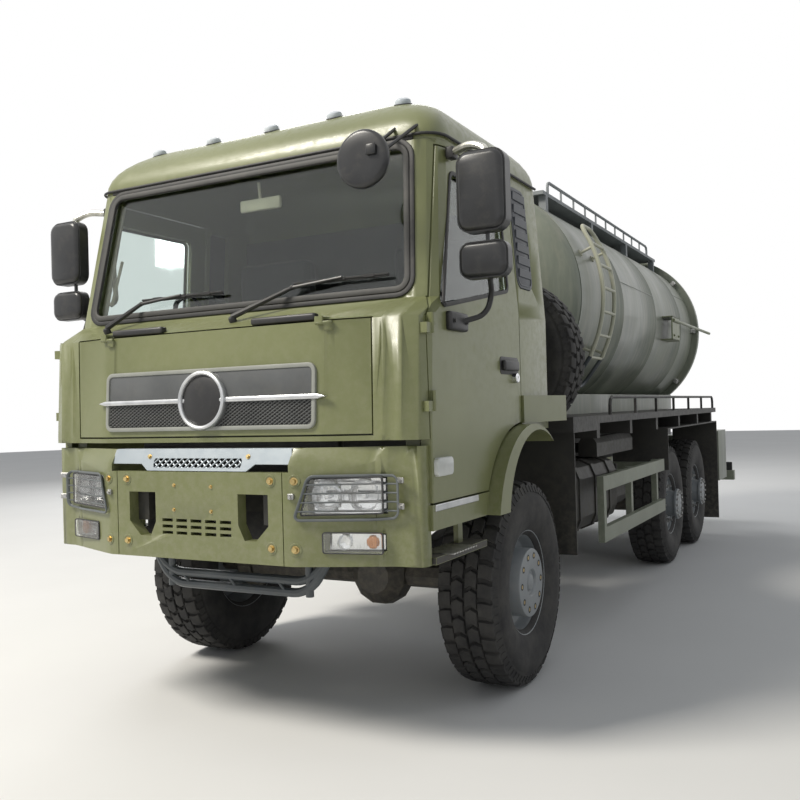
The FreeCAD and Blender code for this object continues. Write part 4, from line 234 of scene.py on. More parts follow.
# %% Paint with dust
def dusty_paint(name, base, light, dust, roughness=0.42, dust_low=0.4, dust_high=2.2, dust_share=0.55,
                metallic=0.0, coat=0.0):
    """Paint that varies in patches and carries dust, more of it near the ground."""
    material, shader = shader_of(name, roughness, metallic)
    place = object_place(material)
    patches = ramp(material, noise(material, place, 1.7, 3), 0.35, 0.68)
    tone = mixed(material, patches, base, light)
    fine = ramp(material, noise(material, place, 24, 6, 0.7), 0.42, 0.75)
    low = height_above(material, dust_low, dust_high)
    cover = sums(material, "MULTIPLY", sums(material, "MULTIPLY", fine, low), dust_share)
    tone = mixed(material, cover, tone, dust)
    connect(material, tone, shader.inputs["Base Color"])
    rough = sums(material, "ADD", sums(material, "MULTIPLY", fine, 0.22), roughness - 0.08)
    connect(material, rough, shader.inputs["Roughness"])
    shader.inputs["Coat Weight"].default_value = coat
    shader.inputs["Coat Roughness"].default_value = 0.12
    rippled(material, shader, noise(material, place, 55, 3), 0.10, 0.001)
    return material


cab_green = dusty_paint("cab_green", (0.165, 0.180, 0.075), (0.200, 0.215, 0.095), (0.32, 0.31, 0.24), 0.38,
                        0.5, 2.3, 0.5, coat=0.12)
guard_grey = dusty_paint("guard_grey", (0.17, 0.19, 0.14), (0.24, 0.26, 0.20), (0.36, 0.36, 0.30), 0.5, 0.3,
                         1.6, 0.7)
frame_black = dusty_paint("frame_black", (0.018, 0.018, 0.017), (0.035, 0.034, 0.030), (0.16, 0.145, 0.115),
                          0.6, 0.2, 1.4, 0.75)
axle_grey = dusty_paint("axle_grey", (0.050, 0.048, 0.042), (0.085, 0.080, 0.070), (0.24, 0.21, 0.165), 0.62,
                        0.2, 1.3, 0.9)
rim_grey = dusty_paint("rim_grey", (0.21, 0.23, 0.245), (0.28, 0.30, 0.315), (0.33, 0.32, 0.29), 0.45, 0.2,
                       1.3, 0.5)
ladder_cream = dusty_paint("ladder_cream", (0.42, 0.43, 0.33), (0.50, 0.50, 0.40), (0.30, 0.29, 0.23), 0.5,
                           1.0, 3.4, 0.5)
walkway_grey = dusty_paint("walkway_grey", (0.16, 0.18, 0.19), (0.25, 0.27, 0.28), (0.34, 0.33, 0.28), 0.6,
                           1.5, 3.4, 0.6)
iron_dark = dusty_paint("iron_dark", (0.035, 0.035, 0.034), (0.07, 0.068, 0.06), (0.15, 0.13, 0.10), 0.65,
                        0.3, 1.5, 0.8)
plate_steel = dusty_paint("plate_steel", (0.33, 0.34, 0.34), (0.45, 0.46, 0.45), (0.36, 0.33, 0.27), 0.42,
                          0.3, 1.6, 0.5, metallic=0.55)
print("paints:", len(bpy.data.materials))

# %% [markdown]
# ## The tank's own finish
# The barrel is sprayed in a thin grey-green coat. Rain has drawn dust down its sides,
# so its clouds are stretched from top to bottom, and its
# roughness changes with the clouds.

# %% Tank paint
def tank_finish(name, base, pale, dust):
    material, shader = shader_of(name, 0.42, 0.12)
    place = object_place(material, (1.0, 1.3, 0.35))
    clouds = ramp(material, noise(material, place, 1.6, 5, 0.62), 0.36, 0.66)
    streaks = ramp(material, noise(material, object_place(material, (5, 7, 0.5)), 2.4, 5, 0.6), 0.45, 0.72)
    tone = mixed(material, clouds, base, pale)
    dusted = sums(material, "MULTIPLY", streaks, 0.55)
    tone = mixed(material, dusted, tone, dust)
    connect(material, tone, shader.inputs["Base Color"])
    connect(material, sums(material, "ADD", sums(material, "MULTIPLY", clouds, 0.24), 0.30),
            shader.inputs["Roughness"])
    rippled(material, shader, noise(material, object_place(material, (1, 1, 1)), 3.2, 3), 0.25, 0.004)
    return material


tank_grey = tank_finish("tank_grey", (0.115, 0.135, 0.105), (0.235, 0.255, 0.205), (0.30, 0.295, 0.235))
tank_green = tank_finish("tank_green", (0.150, 0.175, 0.095), (0.215, 0.235, 0.145), (0.28, 0.28, 0.20))

# %% [markdown]
# ## Rubber, plastics, glass and bright metal
# Tyre rubber is nearly black where it is clean and dull brown-grey where dust sits.
# Moulded plastic has a fine grain and a soft shine. Glass is clear with a green-grey
# tint. Lenses have ribs, which a wave texture raises.


# %% Rubber and plastics
def dusty_rubber(name, base, dust, share):
    material, shader = shader_of(name, 0.78, 0.0, 0.35)
    place = object_place(material)
    cloud = ramp(material, noise(material, place, 7, 6, 0.68), 0.36, 0.70)
    tone = mixed(material, sums(material, "MULTIPLY", cloud, share), base, dust)
    connect(material, tone, shader.inputs["Base Color"])
    rippled(material, shader, noise(material, place, 90, 4), 0.35, 0.001)
    return material


def grained(name, base, light, roughness, grain=260, strength=0.2, dust=(0.22, 0.20, 0.16), share=0.15):
    material, shader = shader_of(name, roughness, 0.0, 0.5)
    place = object_place(material)
    tone = mixed(material, ramp(material, noise(material, place, 5, 4), 0.3, 0.7), base, light)
    film = ramp(material, noise(material, place, 11, 6, 0.7), 0.5, 0.8)
    tone = mixed(material, sums(material, "MULTIPLY", film, share), tone, dust)
    connect(material, tone, shader.inputs["Base Color"])
    rippled(material, shader, noise(material, place, grain, 3), strength, 0.0006)
    return material


tyre_rubber = dusty_rubber("tyre_rubber", (0.022, 0.022, 0.023), (0.098, 0.094, 0.086), 0.50)
mud_rubber = dusty_rubber("mud_rubber", (0.014, 0.014, 0.014), (0.11, 0.10, 0.085), 0.35)
black_plastic = grained("black_plastic", (0.012, 0.012, 0.013), (0.026, 0.026, 0.027), 0.42)
dark_trim = grained("dark_trim", (0.035, 0.036, 0.038), (0.055, 0.056, 0.058), 0.55)
grille_grey = grained("grille_grey", (0.115, 0.120, 0.120), (0.160, 0.165, 0.162), 0.40)
cabin_grey = grained("cabin_grey", (0.16, 0.165, 0.165), (0.22, 0.225, 0.22), 0.8, 120, 0.3)
cream_plastic = grained("cream_plastic", (0.62, 0.58, 0.42), (0.70, 0.66, 0.50), 0.45)


# %% Seat cloth
def woven(name, thread, gap, size):
    """Crossed threads from two wave textures."""
    material, shader = shader_of(name, 0.95, 0.0, 0.2)
    heights = []
    for axis in ("X", "Z"):
        wave = material.node_tree.nodes.new("ShaderNodeTexWave")
        wave.bands_direction = axis
        wave.inputs["Scale"].default_value = size
        wave.inputs["Distortion"].default_value = 0.6
        connect(material, object_place(material), wave.inputs["Vector"])
        heights.append(wave.outputs["Fac"])
    crossed = sums(material, "MULTIPLY", *heights)
    connect(material, mixed(material, crossed, gap, thread), shader.inputs["Base Color"])
    shader.inputs["Sheen Weight"].default_value = 0.3
    rippled(material, shader, crossed, 0.5, 0.001)
    return material


seat_cloth = woven("seat_cloth", (0.085, 0.085, 0.09), (0.03, 0.03, 0.032), 60)


# %% Glass and lenses
def clear_pane(name, tint, roughness=0.02, transmission=1.0):
    material, shader = shader_of(name, roughness)
    shader.inputs["Base Color"].default_value = (*tint, 1)
    shader.inputs["IOR"].default_value = 1.45
    shader.inputs["Transmission Weight"].default_value = transmission
    smear = ramp(material, noise(material, object_place(material, (1, 1, 0.4)), 3.0, 5), 0.45, 0.8,
                 (roughness, roughness, roughness, 1), (roughness + 0.10,) * 3 + (1,))
    connect(material, smear, shader.inputs["Roughness"])
    return material


def ribbed_lens(name, tint, count, axis="X", strength=0.6, transmission=0.85):
    material, shader = shader_of(name, 0.08)
    shader.inputs["IOR"].default_value = 1.49
    shader.inputs["Transmission Weight"].default_value = transmission
    wave = material.node_tree.nodes.new("ShaderNodeTexWave")
    wave.bands_direction = axis
    wave.inputs["Scale"].default_value = count
    connect(material, object_place(material), wave.inputs["Vector"])
    connect(material, mixed(material, wave.outputs["Fac"], tint, tuple(min(1, t * 1.15) for t in tint)),
            shader.inputs["Base Color"])
    rippled(material, shader, wave.outputs["Fac"], strength, 0.002)
    return material


window_glass = clear_pane("window_glass", (0.78, 0.84, 0.82))
mirror_glass, mirror_shader = shader_of("mirror_glass", 0.04, 1.0)
mirror_cloud = noise(mirror_glass, object_place(mirror_glass), 6)
connect(mirror_glass, ramp(mirror_glass, mirror_cloud, 0.3, 0.7, (0.72, 0.75, 0.76, 1),
                           (0.80, 0.83, 0.84, 1)),
        mirror_shader.inputs["Base Color"])
clear_lens = ribbed_lens("clear_lens", (0.97, 0.98, 0.97), 22, strength=0.25, transmission=0.95)
amber_lens = ribbed_lens("amber_lens", (0.85, 0.30, 0.03), 30, transmission=0.5)
red_lens = ribbed_lens("red_lens", (0.55, 0.02, 0.02), 30, transmission=0.4)


# %% Bright metal
def bright_metal(name, low, high, roughness, grain=30, strength=0.15):
    material, shader = shader_of(name, roughness, 0.95)
    place = object_place(material)
    connect(material, mixed(material, ramp(material, noise(material, place, grain), 0.35, 0.65), low, high),
            shader.inputs["Base Color"])
    rippled(material, shader, noise(material, place, grain * 8), strength, 0.0006)
    return material


chrome = bright_metal("chrome", (0.62, 0.63, 0.64), (0.74, 0.75, 0.76), 0.14)
worn_steel = bright_metal("worn_steel", (0.34, 0.34, 0.33), (0.52, 0.52, 0.51), 0.38)
brass = bright_metal("brass", (0.42, 0.31, 0.14), (0.60, 0.47, 0.22), 0.36)
silver_strip = bright_metal("silver_strip", (0.50, 0.51, 0.52), (0.66, 0.67, 0.68), 0.33, 9, 0.4)
print("finishes:", len(bpy.data.materials))

# %% [markdown]
# ## Finishes on the solids
# Solids whose shape is right stay as they are. Each gets its finish in its material slot.

# %% Dress the solids
finishes = {
    "bumper": cab_green, "cab_shell": cab_green, "cab_roof": cab_green, "door_left": cab_green,
    "door_right": cab_green, "front_flap": cab_green, "cab_steps": cab_green, "wheel_flares": cab_green,
    "cradle": tank_grey, "shelves": frame_black, "tank": tank_grey, "tank_door": tank_grey,
    "manhole_lid": walkway_grey, "walkway": walkway_grey, "ladder": ladder_cream, "windscreen": window_glass,
    "door_glass_left": window_glass, "door_glass_right": window_glass, "dashboard": dark_trim,
    "cab_fittings": dark_trim, "seats": seat_cloth, "engine": iron_dark, "front_guards": plate_steel,
    "grille": grille_grey, "lamps": clear_lens, "frame_rails": frame_black, "frame_brackets": frame_black,
    "subframe": frame_black, "springs": iron_dark, "front_axle": axle_grey, "rear_axles": axle_grey,
    "knuckle_left": axle_grey, "knuckle_right": axle_grey, "drive_line": axle_grey, "fuel_tank": frame_black,
    "guards": guard_grey, "mudguards": frame_black, "mirror_left": black_plastic,
    "mirror_right": black_plastic, "outlet": walkway_grey, "toolboxes": tank_grey,
    "spare_carrier": frame_black,
}
for name, cad in cad_nodes.items():
    if name.startswith("tyre"):
        finish = tyre_rubber
    elif name.startswith("rim"):
        finish = rim_grey
    else:
        finish = finishes.get(name, frame_black)
    cad.data.materials.clear()
    cad.data.materials.append(finish)
print("dressed:", len(cad_nodes), "left plain:", sorted(set(finishes) - set(cad_nodes)))

# %% [markdown]
# ## Tools for small pieces
# The next cells add what a CAD solid is too coarse for. Every helper starts from a bmesh
# operator: a cube for a block, a cone for a rod, and a spun line for a round part.
# A finished piece closes its seams, turns its faces outwards and rides on a body,
# so that it follows the wheel, door or flap that carries it.

# %% Places and pieces
half_length = 4.5


def back(y):
    """A length measured back from the bumper's front face, as a place along Y."""
    return y - half_length


def piece(name, shape, finish, body="chassis", sharp=35):
    """Makes an object of a bmesh and lets it ride on a body."""
    bmesh.ops.remove_doubles(shape, verts=shape.verts, dist=0.00002)
    bmesh.ops.recalc_face_normals(shape, faces=shape.faces)
    data = bpy.data.meshes.new(name)
    shape.to_mesh(data)
    shape.free()
    data.materials.append(finish)
    data.shade_smooth()
    data.set_sharp_from_angle(angle=math.radians(sharp))
    made = bpy.data.objects.new(name, data)
    bpy.context.scene.collection.objects.link(made)
    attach(made, body)
    return made


def of_kind(parts, kind):
    """The points or edges among what an operator returns."""
    return [part for part in parts if isinstance(part, kind)]


def triangles(thing):
    return sum(len(face.vertices) - 2 for face in thing.data.polygons)


# %% Blocks, rods and round parts
def brick(shape, low, high, edge=0.0, steps=1):
    """A block between two corners, with its edges eased."""
    old = set(shape.verts)
    made = bmesh.ops.create_cube(shape, size=1.0)["verts"]
    bmesh.ops.scale(shape, vec=Vector(high) - Vector(low), verts=made)
    bmesh.ops.translate(shape, vec=(Vector(high) + Vector(low)) / 2, verts=made)
    if edge:
        edges = list({e for v in made for e in v.link_edges})
        bmesh.ops.bevel(shape, geom=edges, offset=edge, segments=steps, profile=0.5, affect="EDGES",
                        material=-1)
    return [v for v in shape.verts if v not in old]


def bar(shape, start, end, radius, sides=12, tip=None):
    """A round bar between two points. A tip radius makes it a cone."""
    start, end = Vector(start), Vector(end)
    turn = (end - start).to_track_quat("Z", "Y").to_matrix().to_4x4()
    return bmesh.ops.create_cone(shape, cap_ends=True, segments=sides, radius1=radius,
                                 radius2=radius if tip is None else tip, depth=(end - start).length,
                                 matrix=Matrix.Translation((start + end) / 2) @ turn)["verts"]


def lathe(shape, profile, place, axis, steps=48):
    """Spins a line of (along, radius) points a full turn about an axis."""
    spot = Matrix.Translation(Vector(place)) @ Vector(axis).to_track_quat("Z", "Y").to_matrix().to_4x4()
    chain = [shape.verts.new(spot @ Vector((radius, 0, along))) for along, radius in profile]
    edges = [shape.edges.new(pair) for pair in zip(chain, chain[1:])]
    bmesh.ops.spin(shape, geom=chain + edges, cent=Vector(place), axis=Vector(axis), angle=2 * math.pi,
                   steps=steps, use_merge=True)


def bolt(shape, place, axis, size, height=0.6):
    """A six-sided head on a round washer."""
    place, axis = Vector(place), Vector(axis).normalized()
    bar(shape, place, place + axis * size * 0.12, size * 0.75, 10)
    bar(shape, place, place + axis * size * height, size * 0.5, 6)


# %% Bent tubes
def pipe(name, points, radius, finish, body="chassis", bend=0.05, closed=False, sides=3):
    """A tube whose corners are eased by Bezier handles, turned into a mesh."""
    line = bpy.data.curves.new(name, "CURVE")
    line.dimensions = "3D"
    line.bevel_depth = radius
    line.bevel_resolution = sides
    line.use_fill_caps = True
    line.resolution_u = 6
    points = [Vector(point) for point in points]
    count = len(points)
    stops = []
    for number, here in enumerate(points):
        before, after = points[number - 1], points[(number + 1) % count]
        if not closed and number in (0, count - 1):
            toward = (after - here).normalized() if number == 0 else (here - before).normalized()
            stops.append((here, here - toward * 0.01, here + toward * 0.01))
            continue
        inward, outward = (here - before), (after - here)
        reach = min(bend, inward.length * 0.45, outward.length * 0.45)
        enter, leave = here - inward.normalized() * reach, here + outward.normalized() * reach
        stops.append((enter, enter - inward.normalized() * 0.01, enter + inward.normalized() * reach * 0.55))
        stops.append((leave, leave - outward.normalized() * reach * 0.55,
                      leave + outward.normalized() * 0.01))
    spline = line.splines.new("BEZIER")
    spline.bezier_points.add(len(stops) - 1)
    spline.use_cyclic_u = closed
    for stop, (place, left, right_handle) in zip(spline.bezier_points, stops):
        stop.co, stop.handle_left, stop.handle_right = place, left, right_handle
    holder = bpy.data.objects.new(name + "_line", line)
    data = bpy.data.meshes.new_from_object(holder)
    bpy.data.objects.remove(holder)
    bpy.data.curves.remove(line)
    shape = bmesh.new()
    shape.from_mesh(data)
    bpy.data.meshes.remove(data)
    return piece(name, shape, finish, body)


print("helpers ready")

# %% [markdown]
# ## Tyres with block tread
# An off-road truck tyre has four columns of rubber blocks, each column half a block behind
# its neighbour, with a point on every block. The carcass is a section spun about the axle.
# One block is shaped once, then copied round the tread, and the finished tyre is copied to
# all seven places.

# %% One tread block
tread_depth = 0.0165
lug_place = 0.151
lug_height = 0.516
groove_floor = 0.542
rows = 36


def tread_block(width, length, point, lean):
    """A block whose leading edge is pointed and whose walls slope a little."""
    block = bmesh.new()
    brick(block, (-width / 2, -length / 2, -0.012), (width / 2, length / 2, tread_depth))
    bmesh.ops.bisect_plane(block, geom=block.verts[:] + block.edges[:] + block.faces[:], plane_co=(0, 0, 0),
                           plane_no=(1, 0, 0))
    for corner in block.verts:
        corner.co.y += point if abs(corner.co.x) < 0.001 else lean * corner.co.x
        if corner.co.z > 0:
            corner.co.x *= 0.93
            corner.co.y *= 0.90
    rim_edges = [e for e in block.edges
                 if all(v.co.z > 0 for v in e.verts) and any(f.normal.z < 0.5 for f in e.link_faces)]
    bmesh.ops.bevel(block, geom=rim_edges, offset=0.0028, segments=1, profile=0.5, affect="EDGES",
                    material=-1)
    return block


# %% The tyre
carcass = [(-0.112, 0.258), (-0.130, 0.270), (-0.146, 0.296), (-0.150, 0.306), (-0.157, 0.318),
           (-0.167, 0.360), (-0.1715, 0.405), (-0.1725, 0.440), (-0.169, 0.474), (-0.1665, 0.478),
           (-0.163, 0.486), (-0.1625, 0.492), (-0.157, 0.508), (-0.153, 0.520), (-0.146, 0.530),
           (-0.128, 0.538), (-0.070, 0.5412), (0, groove_floor)]
carcass += [(-x, r) for x, r in reversed(carcass[:-1])]
carcass += [(0.100, 0.262), (-0.100, 0.262)]


def tyre_mesh():
    """A whole tyre about the X axis."""
    shape = bmesh.new()
    lathe(shape, carcass + carcass[:1], (0, 0, 0), (1, 0, 0), 88)
    pitch = 2 * math.pi / rows
    columns = ((-0.112, 0.080, 0.074, 0.008, 0.16, 0.0), (-0.0375, 0.066, 0.080, 0.022, 0.0, 0.5),
               (0.0375, 0.066, 0.080, 0.022, 0.0, 0.0), (0.112, 0.080, 0.074, 0.008, -0.16, 0.5))
    for across, width, length, point, lean, offset in columns:
        block = tread_block(width, length, point, lean)
        data = bpy.data.meshes.new("tread_block")
        block.to_mesh(data)
        block.free()
        drop = 0.0022 if abs(across) > 0.1 else 0.0
        for row in range(rows):
            old = set(shape.verts)
            shape.from_mesh(data)
            new = [v for v in shape.verts if v not in old]
            turn = Matrix.Rotation((row + offset) * pitch, 4, "X")
            spot = Matrix.Translation((across, 0, groove_floor - drop))
            bmesh.ops.transform(shape, matrix=turn @ spot, verts=new)
            if abs(across) > 0.1:
                outer = [v for v in new if abs(v.co.x) > 0.14]
                bmesh.ops.scale(shape, vec=(0.985, 0.985, 0.985), verts=outer)
        bpy.data.meshes.remove(data)
    for row in range(rows * 2):
        turn = Matrix.Rotation(row * pitch / 2, 4, "X")
        for side in (1, -1):
            lug = brick(shape, (side * lug_place - 0.006, -0.015, 0.494),
                        (side * lug_place + 0.006, 0.015, 0.534))
            bmesh.ops.rotate(shape, cent=(side * lug_place, 0, lug_height),
                             matrix=Matrix.Rotation(-side * 0.42, 3, "Y"), verts=lug)
            bmesh.ops.transform(shape, matrix=turn, verts=lug)
    bmesh.ops.recalc_face_normals(shape, faces=shape.faces)
    data = bpy.data.meshes.new("tyre_shape")
    shape.to_mesh(data)
    shape.free()
    return data


tyre_shape = tyre_mesh()
print("one tyre:", sum(len(f.vertices) - 2 for f in tyre_shape.polygons), "triangles")

# %% [markdown]
# ## Rims
# The front rim is a deep dish round a flat hub plate with ten studs in holes. A rear hub
# stands further out: ten long nuts sit on the disc, and a bolted cap closes the hub.
# Both are sections spun about the axle, with nuts as small six-sided bars.

# %% Rim sections
barrel = [(0.128, 0.2925), (0.138, 0.2905), (0.1395, 0.284), (0.134, 0.278), (0.122, 0.274), (0.116, 0.262),
          (0.100, 0.254), (0.062, 0.250)]
inside = [(-0.055, 0.243), (-0.100, 0.262), (-0.122, 0.274), (-0.134, 0.278), (-0.1395, 0.284),
          (-0.138, 0.2905), (-0.128, 0.2925), (-0.116, 0.262), (0.116, 0.262), (0.128, 0.2925)]
front_rim = barrel + [(0.048, 0.240), (0.042, 0.222), (0.040, 0.196), (0.046, 0.1885), (0.060, 0.1875),
                      (0.155, 0.1875), (0.162, 0.1845), (0.164, 0.178), (0.164, 0.076), (0.158, 0.070),
                      (0.150, 0.067), (0.148, 0.052), (0.152, 0.046), (0.160, 0.040), (0.1645, 0.026),
                      (0.165, 0.0)]
front_back = [(0.0170, 0.0), (0.0170, 0.17), (0.028, 0.20), (0.030, 0.232)] + inside
rear_rim = barrel + [(0.090, 0.243), (0.084, 0.228), (0.080, 0.205), (0.086, 0.196), (0.088, 0.150),
                     (0.092, 0.124), (0.186, 0.117), (0.192, 0.140), (0.196, 0.143), (0.212, 0.143),
                     (0.215, 0.140), (0.216, 0.100), (0.221, 0.094), (0.224, 0.060), (0.226, 0.030),
                     (0.226, 0.0)]
rear_back = [(0.0170, 0.0), (0.0170, 0.17), (0.060, 0.21), (0.066, 0.234)] + inside
stud_count = 10
stud_circle = 0.148
long_nut_circle = 0.172
hub_bolt_circle = 0.121


def rim_meshes(front):
    """The painted rim and its nuts, both about the X axis."""
    rim = bmesh.new()
    lathe(rim, (front_rim + front_back) if front else (rear_rim + rear_back), (0, 0, 0), (1, 0, 0), 64)
    nuts = bmesh.new()
    for number in range(stud_count):
        angle = 2 * math.pi * number / stud_count
        across = Vector((0, math.cos(angle), math.sin(angle)))
        if front:
            lathe(rim, [(0.1640, 0.0215), (0.1652, 0.0215), (0.1655, 0.0195), (0.1640, 0.0180)],
                  across * stud_circle, (1, 0, 0), 16)
            bar(nuts, across * stud_circle + Vector((0.150, 0, 0)),
                across * stud_circle + Vector((0.1656, 0, 0)), 0.0110, 6)
        else:
            bar(nuts, across * long_nut_circle + Vector((0.078, 0, 0)),
                across * long_nut_circle + Vector((0.090, 0, 0)), 0.021, 12)
            bar(nuts, across * long_nut_circle + Vector((0.088, 0, 0)),
                across * long_nut_circle + Vector((0.118, 0, 0)), 0.0165, 6)
            bar(nuts, across * long_nut_circle + Vector((0.118, 0, 0)),
                across * long_nut_circle + Vector((0.138, 0, 0)), 0.0095, 8)
    if not front:
        for number in range(14):
            angle = 2 * math.pi * number / 14
            across = Vector((0, math.cos(angle), math.sin(angle))) * hub_bolt_circle
            bar(nuts, across + Vector((0.214, 0, 0)), across + Vector((0.2335, 0, 0)), 0.0105, 6)
    made = []
    for label, shape in (("rim", rim), ("nuts", nuts)):
        bmesh.ops.remove_doubles(shape, verts=shape.verts, dist=0.00002)
        bmesh.ops.recalc_face_normals(shape, faces=shape.faces)
        data = bpy.data.meshes.new(label + "_shape")
        shape.to_mesh(data)
        shape.free()
        made.append(data)
    return made


front_shapes, rear_shapes = rim_meshes(True), rim_meshes(False)

# %% Wheels in their places
# Near-black finish for the stud holes: painted shade for the dark hollow inside each hole.
stud_hole_shade = grained("stud_hole_shade", (0.008, 0.008, 0.008), (0.016, 0.016, 0.015), 0.7)
wheel_height = 0.560
front_track, rear_track = 0.970, 0.935
front_axle, middle_axle, rear_axle = 1.426, 5.502, 6.812
wheel_places = {"spare": (Vector((0.590, back(2.420), 1.850)), Matrix.Rotation(-math.pi / 2, 4, "Z"),
                          "chassis")}
for side, sign in (("left", 1), ("right", -1)):
    turn = Matrix.Identity(4) if sign > 0 else Matrix.Rotation(math.pi, 4, "Z")
    wheel_places[f"front_{side}"] = (Vector((sign * front_track, back(front_axle), wheel_height)), turn,
                                     f"wheel_front_{side}")
    wheel_places[f"middle_{side}"] = (Vector((sign * rear_track, back(middle_axle), wheel_height)), turn,
                                      f"wheel_middle_{side}")
    wheel_places[f"rear_{side}"] = (Vector((sign * rear_track, back(rear_axle), wheel_height)), turn,
                                    f"wheel_rear_{side}")


def put(name, data, finish, place, turn, body, sharp=35):
    """A copy of a mesh, moved to its place."""
    own = data.copy()
    own.name = name
    own.transform(Matrix.Translation(place) @ turn)
    own.materials.clear()
    own.materials.append(finish)
    own.shade_smooth()
    own.set_sharp_from_angle(angle=math.radians(sharp))
    made = bpy.data.objects.new(name, own)
    bpy.context.scene.collection.objects.link(made)
    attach(made, body)
    return made


for word, (place, turn, body) in wheel_places.items():
    rim_data, nut_data = front_shapes if word.startswith(("front", "spare")) else rear_shapes
    tyre = put(f"block_tyre_{word}", tyre_shape, tyre_rubber, place, turn, body, 28)
    rim = put(f"dished_rim_{word}", rim_data, rim_grey, place, turn, body)
    nuts = put(f"wheel_nuts_{word}", nut_data, brass if word.startswith("front") else worn_steel, place, turn,
               body)
    if word.startswith(("front", "spare")):
        # Each stud hole is a thin near-black disc on the hub plate: painted shade, not a cut hole.
        hole_shade = bmesh.new()
        for number in range(stud_count):
            angle = 2 * math.pi * number / stud_count
            across = Vector((0, math.cos(angle), math.sin(angle))) * stud_circle
            bar(hole_shade, across + Vector((0.1630, 0, 0)), across + Vector((0.1648, 0, 0)), 0.0180, 16)
        bmesh.ops.transform(hole_shade, matrix=Matrix.Translation(place) @ turn, verts=hole_shade.verts)
        piece(f"stud_hole_shade_{word}", hole_shade, stud_hole_shade, body)
    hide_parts(f"tyre_{word}")
    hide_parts(f"rim_{word}")
print("wheels:", len(wheel_places))

# %% [markdown]
# ## Flat work on leaning faces
# The nose, the windscreen and the cab's sides all lean a little. It is easiest to draw a
# seal or a panel flat, with u across and v up, and then to lay it on its face with a matrix.
# One helper draws every flat part: a circle's few corners are moved to the outline and
# rounded by a vertex bevel, an inset keeps the outer band alone, and an extrusion gives it height.

# %% Frames of the faces
def sloped(place, run):
    """A matrix from (u, v, out) to the truck, for a front face that climbs along a run."""
    v = Vector(run).normalized()
    return Matrix.Translation(Vector(place)) @ Matrix(((1, 0, 0), (0, v.y, -v.z), (0, v.z, v.y))).to_4x4()


def beside(x, z, lean=0.0):
    """The same for the left side: u runs back along Y and v up. Lean is how far the top draws in."""
    v = Vector((-lean, 0, 1)).normalized()
    return Matrix.Translation((x, 0, z)) @ Matrix(((0, v.x, v.z), (1, 0, 0), (0, v.z, -v.x))).to_4x4()


nose_face = sloped((0, back(0.075), 1.430), (0, 0.030, 0.505))
screen_face = sloped((0, back(0.326), 2.035), (0, 0.147, 0.778))
cab_side_x = 1.130
screen_foot = 2.035
cab_side = beside(cab_side_x, screen_foot, 0.0707)
print("nose leans", round(math.degrees(math.atan2(0.030, 0.505)), 1), "degrees")


def upright(y):
    """The face across the truck at a place along its length."""
    return sloped((0, back(y), 0), (0, 0, 1))


# %% Flat parts
def flat_part(shape, corners, radius, low, high, spot, band=0.0, edge=0.0, steps=5):
    """A plate with rounded corners between two heights. With a band it is the outer ring alone."""
    old_faces, old_verts = set(shape.faces), set(shape.verts)
    ring = bmesh.ops.create_circle(shape, cap_ends=True, segments=len(corners), radius=1.0)["verts"]
    for corner, (u, v) in zip(ring, corners):
        corner.co = (u, v, low)
    if radius:
        bmesh.ops.bevel(shape, geom=ring, offset=radius, segments=steps, profile=0.5, affect="VERTICES",
                        material=-1)
    made = [face for face in shape.faces if face not in old_faces]
    middle = max(made, key=lambda face: face.calc_area())
    bmesh.ops.delete(shape, geom=[face for face in made if face is not middle], context="FACES")
    faces = [middle]
    if band:
        faces = bmesh.ops.inset_region(shape, faces=[middle], thickness=band, use_even_offset=True,
                                       use_boundary=True)["faces"]
        bmesh.ops.delete(shape, geom=[middle], context="FACES_ONLY")
    raised = bmesh.ops.extrude_face_region(shape, geom=faces)["geom"]
    top = set(of_kind(raised, bmesh.types.BMVert))
    bmesh.ops.translate(shape, vec=(0, 0, high - low), verts=list(top))
    if edge:
        shape.normal_update()
        rim = [e for e in shape.edges if set(e.verts) <= top and e.calc_face_angle(0) > 0.5]
        bmesh.ops.bevel(shape, geom=rim, offset=edge, segments=2, profile=0.5, affect="EDGES", material=-1)
    bmesh.ops.transform(shape, matrix=spot, verts=[v for v in shape.verts if v not in old_verts])


def box_corners(low_u, low_v, high_u, high_v):
    return [(low_u, low_v), (high_u, low_v), (high_u, high_v), (low_u, high_v)]


def pair(name, build, finish, left_body="chassis", right_body=None, sharp=35):
    """Builds a piece on the truck's left, and its mirror image on the right."""
    made = []
    for side, body in (("left", left_body), ("right", right_body or left_body)):
        shape = bmesh.new()
        build(shape)
        if side == "right":
            bmesh.ops.scale(shape, vec=(-1, 1, 1), verts=shape.verts)
        made.append(piece(f"{name}_{side}", shape, finish, body, sharp))
    return made


def flipped(points):
    return [(-x, y, z) for x, y, z in points]


def pipe_pair(name, points, radius, finish, left_body="chassis", right_body=None, **options):
    return [pipe(f"{name}_left", points, radius, finish, left_body, **options),
            pipe(f"{name}_right", flipped(points), radius, finish, right_body or left_body, **options)]


# %% [markdown]
# ## The windscreen's seal
# The glass sits in a rubber profile with an outer black lip and a wider inner bead, which is
# painted a lighter grey than the lip for the highlights on it. Both are rounded loops, so
# each is one flat ring with eased edges.

# %% Windscreen seal
seal_rubber = grained("seal_rubber", (0.010, 0.010, 0.010), (0.020, 0.020, 0.020), 0.55, 140, 0.25)
